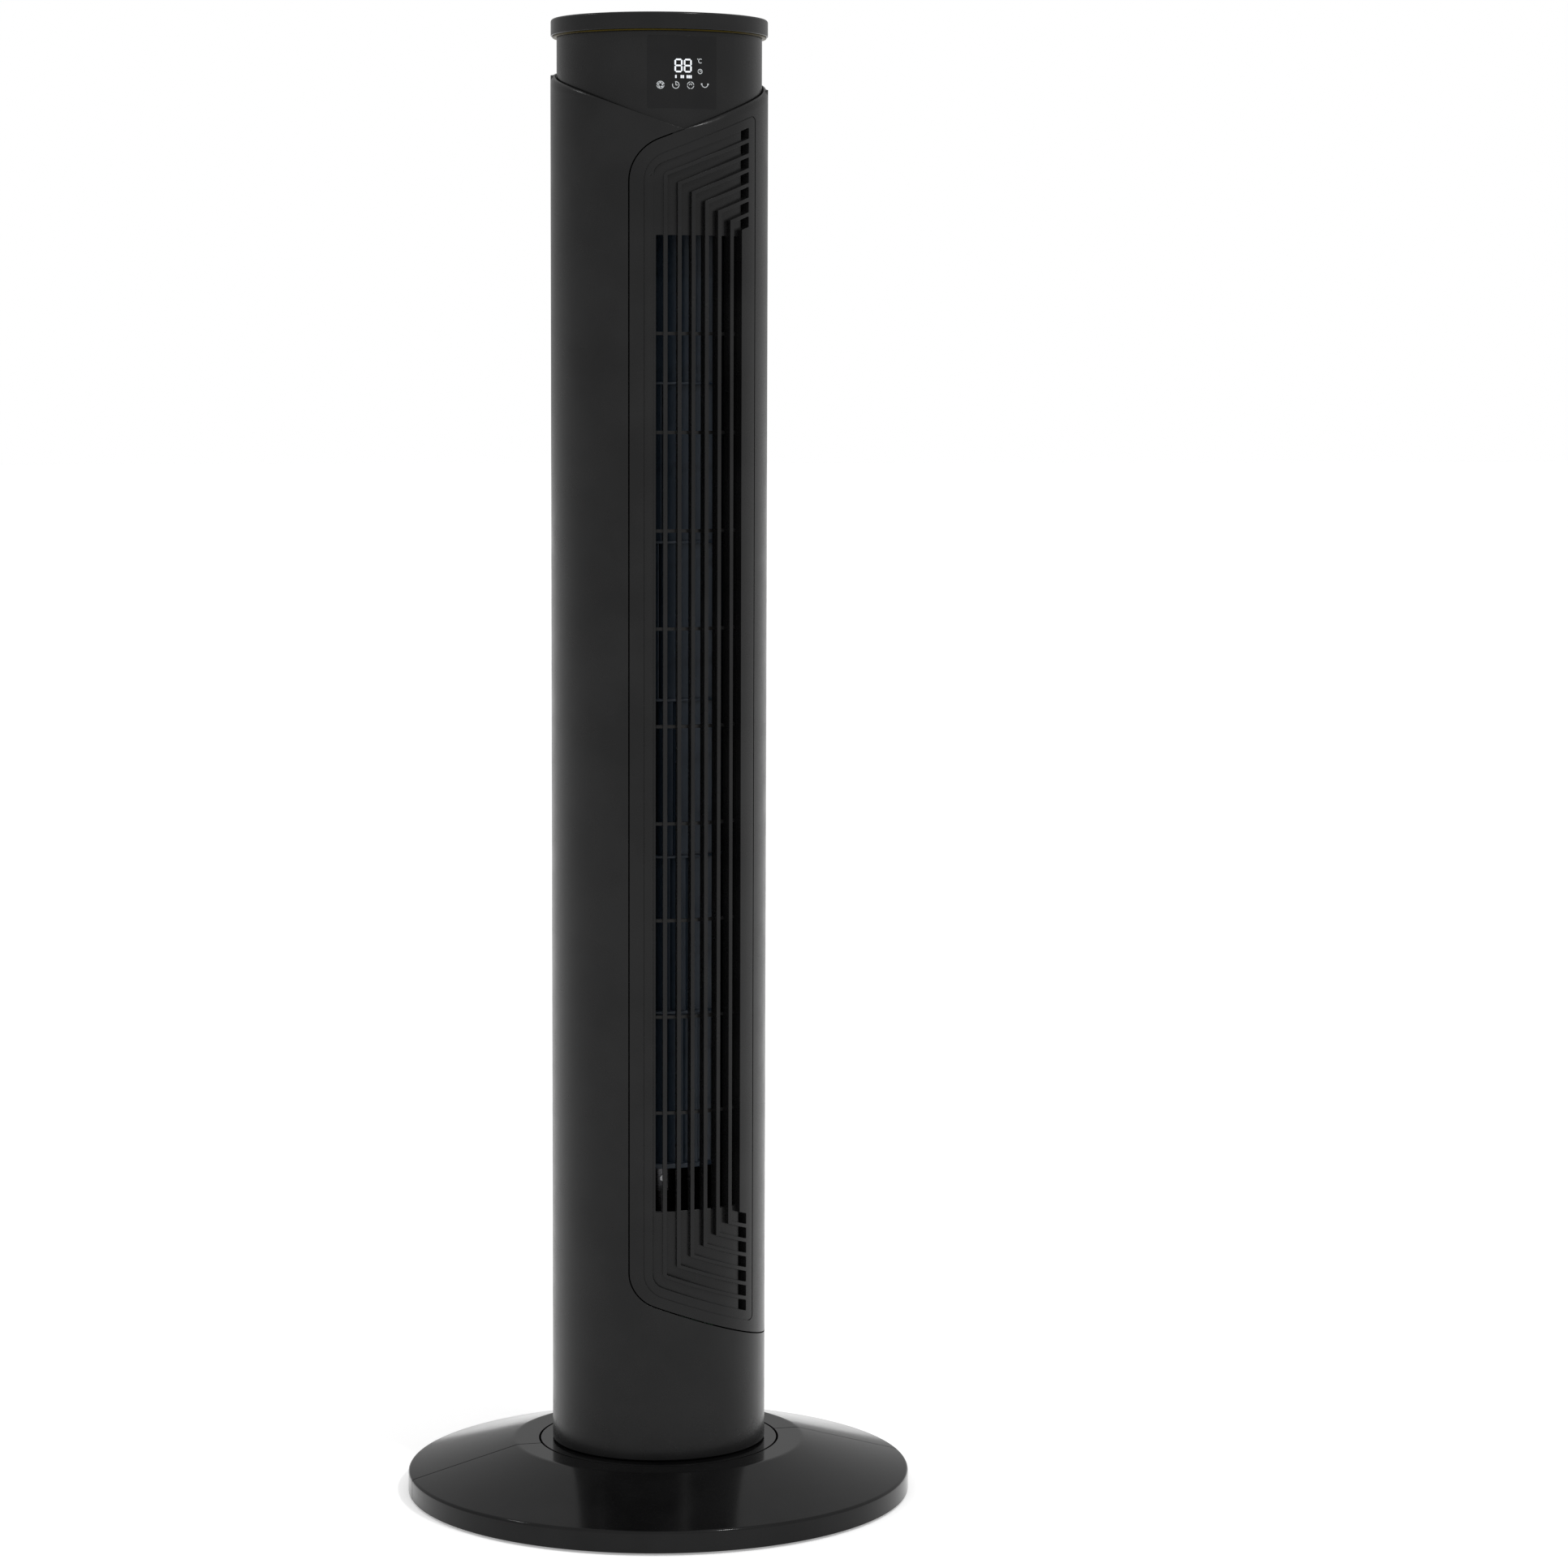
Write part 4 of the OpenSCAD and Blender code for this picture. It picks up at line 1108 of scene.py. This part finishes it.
def blade_outline(inner, steps=5, thick=0.9):
    """Cross-section of a blade, curved forwards, thinner at both edges."""
    sides = []
    for sign in (-1, 1):
        side = []
        for i in range(steps + 1):
            t = i / steps
            r = inner + (wheel_r - 1 - inner) * t
            turn = math.radians(14 * t * t)
            lean = math.radians(14 * t * t + 25)
            half = sign * thick / 2 * (0.55 + 0.45 * math.sin(math.pi * t))
            x = r * math.cos(turn) - half * math.sin(lean)
            y = r * math.sin(turn) + half * math.cos(lean)
            side.append((x, y))
        sides.append(side)
    return sides[0] + sides[1][::-1]


# ---------- electrics ----------

def electric(name, node, slot, boxes=(), turnings=()):
    """A piece made of boxes (two corners and a rounding) and of turned profiles with their place."""
    bm = bmesh.new()
    for lowest, highest, edge in boxes:
        rounded_box(bm, lowest, highest, edge)
    for place, profile in turnings:
        turned(bm, profile, place, 15)
    piece(name, bm, "tower", slot, [node] if node else [])


def facing(x, y, z):
    """A place whose own Z axis points to the front."""
    return Matrix.Translation((x, y, z)) @ standing()


def control_board():
    a, b = low("control_board"), high("control_board")
    y = b.y
    electric("control_board_sheet", "control_board", "board_green", [(a, b, 0.2)])
    chips = [((-8, y + 0.1, 866), (2, y + 1.5, 876), 0.2), ((10, y + 0.1, 888), (16, y + 1.2, 892), 0.2)]
    for k in range(9):
        x = a.x + 4 + 5.4 * k
        chips.append(((x, y + 0.05, 882), (x + 1.6, y + 0.65, 882.8), 0.1))
        chips.append(((x, y + 0.05, 894), (x + 2, y + 0.75, 895.2), 0.1))
    chips.append(((a.x + 4, y + 0.1, 863.5), (a.x + 16, y + 5, 868), 0.4))
    electric("control_board_chips", None, "inner_plastic", chips)
    pins = []
    for k in range(8):
        x = 1.2 * k
        for z in (864.9, 875.9):
            pins.append(((-7.6 + x, y + 0.05, z), (-7.2 + x, y + 0.5, z + 1.2), 0.05))
    for k in range(4):
        x = a.x + 2.5 * k
        pins.append(((x + 5.5, y + 0.1, 869), (x + 6.1, y + 0.7, 871), 0.05))
    electric("control_board_pins", None, "screw_zinc", pins)


def led_display():
    a, b = low("led_display"), high("led_display")
    boxes = [(a, b, 0.5)]
    for z in (a.z + 0.6, b.z - 1.6):
        boxes.append(((a.x + 1, b.y - 0.6, z), (b.x - 1, b.y - 0.05, z + 1), 0.1))
    electric("led_display_block", "led_display", "inner_plastic", boxes)


def ir_receiver():
    a, b = low("ir_receiver"), high("ir_receiver")
    mid = (a + b) / 2
    dome = [(0, 0), (2.3, 0), (2.2, 0.7), (1.7, 1.3), (1, 1.6), (0, 1.7)]
    body = [((a.x, a.y + 1.7, a.z), b, 0.4)]
    lens = [(facing(mid.x, a.y + 1.75, mid.z + 0.6), dome)]
    electric("ir_receiver_block", "ir_receiver", "inner_plastic", body, lens)


def touch_springs():
    """Four coil springs between the control board and the window, their wire closed at both ends."""
    bm = bmesh.new()
    a, b = low("touch_springs"), high("touch_springs")
    coil_r, wire, turns = 2.3, 0.28, 6
    for x in (a.x + 2.6, a.x + 11.7, b.x - 11.7, b.x - 2.6):
        rings = []
        for k in range(turns * 16 + 1):
            turn = 2 * math.pi * k / 16
            y = b.y - wire + (a.y - b.y + 2 * wire) * k / (turns * 16)
            out = Vector((math.cos(turn), 0, math.sin(turn)))
            centre = Vector((x, y, (a.z + b.z) / 2)) + out * coil_r
            rings.append([
                bm.verts.new(centre + out * wire * math.cos(t) + Vector((0, wire * math.sin(t), 0)))
                for t in [math.pi * i / 3 for i in range(6)]
            ])
        sew(bm, rings)
        bm.faces.new(rings[0])
        bm.faces.new(rings[-1][::-1])
    piece("touch_spring_coils", bm, "tower", "spring_copper", ["touch_springs"])


def power_board():
    a, b = low("power_board"), high("power_board")
    electric("power_board_sheet", "power_board", "board_green", [((a.x, b.y - 1.6, a.z), b, 0.2)])
    front = b.y - 1.7
    can = [(0, 0), (3.2, 0), (3.4, 0.3), (3.4, 5.8), (3.1, 6.1), (0, 6.1)]
    tall = [(0, 0), (1.9, 0), (2.1, 0.2), (2.1, 5.2), (1.9, 5.4), (0, 5.4)]
    boxes = [
        ((-18, front - 6.2, 70), (-4, front, 88), 0.5), ((2, front - 4.4, 72), (14, front, 84), 0.4),
        ((-14, front - 5.2, 99), (6, front, 110), 0.4), ((-20, front - 2.5, 66), (-12, front, 68.5), 0.2),
    ]
    for k in range(8):
        x = -20 + 5 * k
        boxes.append(((x, front - 1.2, 114), (x + 2.5, front, 115.2), 0.1))
    turnings = [(facing(x, front, z), can) for x, z in ((14, 95), (14, 104))]
    turnings += [(facing(x, front, z), tall) for x, z in ((-20, 94), (-1, 93), (5, 93))]
    electric("power_board_parts", None, "inner_plastic", boxes, turnings)
    coil = [(2.6, 0), (4.6, 0), (4.9, 0.5), (4.9, 2.6), (4.6, 3.1), (2.6, 3.1), (2.3, 2.6), (2.3, 0.5)]
    electric("power_board_coil", None, "spring_copper", (), [(facing(18.6, front - 0.1, 77), coil)])


# ---------- screws and gland ----------

def islands(node):
    """The separate solids of a CAD node, each as a list of its points in millimetres."""
    bm = bmesh.new()
    bm.from_mesh(frame["nodes"][node].data)
    bmesh.ops.remove_doubles(bm, verts=bm.verts, dist=1e-7)
    waiting = set(bm.verts)
    found = []
    while waiting:
        front = [waiting.pop()]
        points = []
        while front:
            v = front.pop()
            points.append(v.co / MM)
            near = {e.other_vert(v) for e in v.link_edges} & waiting
            waiting -= near
            front += near
        found.append(points)
    bm.free()
    return found


def screw(bm, matrix, head_r, head_h, shank_r, length):
    """A pan-head screw with a cross recess, its head upwards from Z = 0 and its threaded shank below."""
    pitch, facets = 1.1, 20
    profile = [(shank_r * 0.5, -length), (shank_r * 0.85, -length + 0.4)]
    for k in range(int((length - 1.2) / pitch)):
        z = -length + 0.4 + pitch * k
        profile += [(shank_r, z + pitch * 0.4), (shank_r, z + pitch * 0.55), (shank_r * 0.8, z + pitch)]
    profile += [(shank_r, -0.3), (shank_r, 0), (head_r - 0.15, 0), (head_r, 0.15), (head_r, head_h * 0.45)]
    profile += [(head_r * 0.93, head_h * 0.78), (head_r * 0.8, head_h * 0.94), (head_r * 0.66, head_h)]
    rings = [circle(bm, r, z, facets) for r, z in profile]
    sew(bm, rings)
    bm.faces.new(rings[0][::-1])
    arm, half = head_r * 0.52, head_r * 0.11
    cross = []
    for k in range(4):
        turn = Matrix.Rotation(math.pi / 2 * k, 4, "Z")
        cross += [turn @ Vector(p) for p in ((arm, -half, head_h), (arm, half, head_h), (half, half, head_h))]
    upper = [bm.verts.new(p) for p in cross]
    lower = [bm.verts.new((p.x * 0.75, p.y * 0.75, head_h * 0.35)) for p in cross]
    fill(bm, rings[-1], [upper])
    sew(bm, [upper, lower])
    fill(bm, lower)
    placed(rings + [upper, lower], matrix)


def screws(node, body, upright=Matrix.Identity(4)):
    """Remakes each screw of a CAD node. `upright` turns the screws' own axis to Z."""
    bm = bmesh.new()
    for points in islands(node):
        points = [upright @ p for p in points]
        low_z, high_z = min(p.z for p in points), max(p.z for p in points)
        xs, ys = [p.x for p in points], [p.y for p in points]
        centre = Vector(((min(xs) + max(xs)) / 2, (min(ys) + max(ys)) / 2))
        head_r = (max(xs) - min(xs)) / 2
        reach = [((p.xy - centre).length, p.z) for p in points]
        wide = [z for r, z in reach if r > head_r * 0.95]
        ends = [r for r, z in reach if z < low_z + 0.01 or z > high_z - 0.01]
        shank_r = max(r for r in ends if r < head_r * 0.95)
        is_up = max(wide) > high_z - 0.01
        seat = min(wide) if is_up else max(wide)
        stand = Matrix.Translation((centre.x, centre.y, seat))
        if not is_up:
            stand = stand @ Matrix.Rotation(math.pi, 4, "X")
        length = seat - low_z if is_up else high_z - seat
        screw(bm, upright.inverted() @ stand, head_r, max(wide) - min(wide), shank_r, length)
    piece(node + "_cut", bm, body, "screw_zinc", [node])


def cord_gland():
    """A ribbed rubber sleeve with a rounded flange."""
    a, b = low("cord_gland"), high("cord_gland")
    flange_r, sleeve_r, bore = (b.x - a.x) / 2, (b.x - a.x) / 2 - 2, 3.6
    length = b.y - a.y
    outer = [(bore, 0), (sleeve_r - 0.8, 0)]
    for k in range(4):
        z = 1 + 2.6 * k
        outer += [(sleeve_r - 0.8, z), (sleeve_r, z + 0.4), (sleeve_r, z + 1.2), (sleeve_r - 0.8, z + 1.6)]
    outer += [(sleeve_r, 12), (sleeve_r, length - 3.2), (flange_r, length - 3.2), (flange_r, length - 0.9)]
    outer += [(flange_r - 0.9, length), (bore + 0.8, length), (bore, length - 0.8)]
    bm = bmesh.new()
    place = Matrix.Translation((0, a.y, (a.z + b.z) / 2)) @ Matrix.Rotation(-math.pi / 2, 4, "X")
    turned(bm, outer, place)
    piece("cord_gland_sleeve", bm, "tower", "rubber_black", ["cord_gland"])


front_casing()
rear_casing()
grille_panel()
control_housing()
display_window()
top_cap()
cap_trim_ring()
base_half("base_front_half", -1)
base_half("base_rear_half", 1)
turntable()
impeller()
control_board()
led_display()
ir_receiver()
touch_springs()
power_board()
cord_gland()
for node in ("base_screws", "gear_screws"):
    screws(node, "base")
for node in ("retaining_screws", "tower_screws", "cap_screws", "motor_screws", "swing_motor_screws"):
    screws(node, "tower")
split_axis = Vector((math.cos(math.radians(split_bearing)), math.sin(math.radians(split_bearing)), 0))
screws("casing_screws", "tower", split_axis.rotation_difference(Vector((0, 0, 1))).to_matrix().to_4x4())


# ---------- studio ----------

def studio():
    mesh = bpy.data.meshes.new("floor")
    reach = 30
    corners = [(x, y, 0) for x, y in rectangle(-reach, -reach, reach, reach)]
    mesh.from_pydata(corners, [], [(0, 1, 2, 3)])
    floor = bpy.data.objects.new("floor", mesh)
    bpy.context.scene.collection.objects.link(floor)
    n = Nodes("floor_white")
    shader = n.shader.inputs
    cloud = n.remap(n.noise(3, 3), 0.3, 0.7, 0, 1)
    n.link(n.mix(cloud, (0.9, 0.9, 0.9), (0.93, 0.93, 0.93)), shader["Base Color"])
    shader["Roughness"].default_value = 0.9
    shader["Specular IOR Level"].default_value = 0.1
    shader["Emission Color"].default_value = (1, 1, 1, 1)
    shader["Emission Strength"].default_value = 0.33
    floor.data.materials.append(n.material)


def highlight_light(name, bearing, height, reach, size, power):
    """A small soft light that draws a short highlight along rounded edges."""
    data = bpy.data.lights.new(name, "AREA")
    data.shape = "RECTANGLE"
    data.size, data.size_y = size
    data.energy = power
    obj = bpy.data.objects.new(name, data)
    bpy.context.scene.collection.objects.link(obj)
    turn = math.radians(bearing)
    obj.location = (reach * math.sin(turn), -reach * math.cos(turn), height)
    obj.rotation_euler = (Vector((0, 0, 0.5)) - obj.location).to_track_quat("-Z", "Y").to_euler()


def world():
    """White wherever the camera sees it. As light it is full in front and falls off towards the back."""
    scene = bpy.context.scene
    scene.view_settings.view_transform = "Standard"
    scene.world = bpy.data.worlds.new("studio_world")
    scene.world.use_nodes = True
    tree = scene.world.node_tree
    backdrop = tree.nodes["Background"]
    backdrop.inputs["Color"].default_value = (1, 1, 1, 1)
    light = tree.nodes.new("ShaderNodeBackground")
    light.inputs["Color"].default_value = (1, 1, 1, 1)
    direction = tree.nodes.new("ShaderNodeTexCoord")
    parts = tree.nodes.new("ShaderNodeSeparateXYZ")
    fade = tree.nodes.new("ShaderNodeMapRange")
    for key, value in (("From Min", -0.6), ("From Max", 1), ("To Min", 1.0), ("To Max", 0.42)):
        fade.inputs[key].default_value = value
    mix = tree.nodes.new("ShaderNodeMixShader")
    tree.links.new(direction.outputs["Generated"], parts.inputs["Vector"])
    tree.links.new(parts.outputs["Y"], fade.inputs["Value"])
    tree.links.new(fade.outputs["Result"], light.inputs["Strength"])
    tree.links.new(tree.nodes.new("ShaderNodeLightPath").outputs["Is Camera Ray"], mix.inputs["Fac"])
    tree.links.new(light.outputs["Background"], mix.inputs[1])
    tree.links.new(backdrop.outputs["Background"], mix.inputs[2])
    tree.links.new(mix.outputs["Shader"], tree.nodes["World Output"].inputs["Surface"])


def camera():
    bearing, distance, height = -13.11, 2.6105, 0.6996
    pitch, yaw, roll = 5.539, 1.7065, 0.194
    data = bpy.data.cameras.new("camera")
    data.sensor_width = 36
    data.lens = 96.79
    data.clip_start, data.clip_end = 0.05, 100
    obj = bpy.data.objects.new("camera", data)
    bpy.context.scene.collection.objects.link(obj)
    turn = math.radians(bearing)
    obj.location = (distance * math.sin(turn), -distance * math.cos(turn), height)
    aim = Matrix.Identity(4)
    for angle, axis in ((bearing - yaw, "Z"), (90 - pitch, "X"), (roll, "Z")):
        aim = aim @ Matrix.Rotation(math.radians(angle), 4, axis)
    obj.rotation_euler = aim.to_euler()
    bpy.context.scene.camera = obj


studio()
world()
highlight_light("front_light", 27, 3.2, 2.4, (0.32, 0.2), 34)
highlight_light("rear_light", -112, 3.2, 2.4, (0.2, 0.2), 9)
camera()
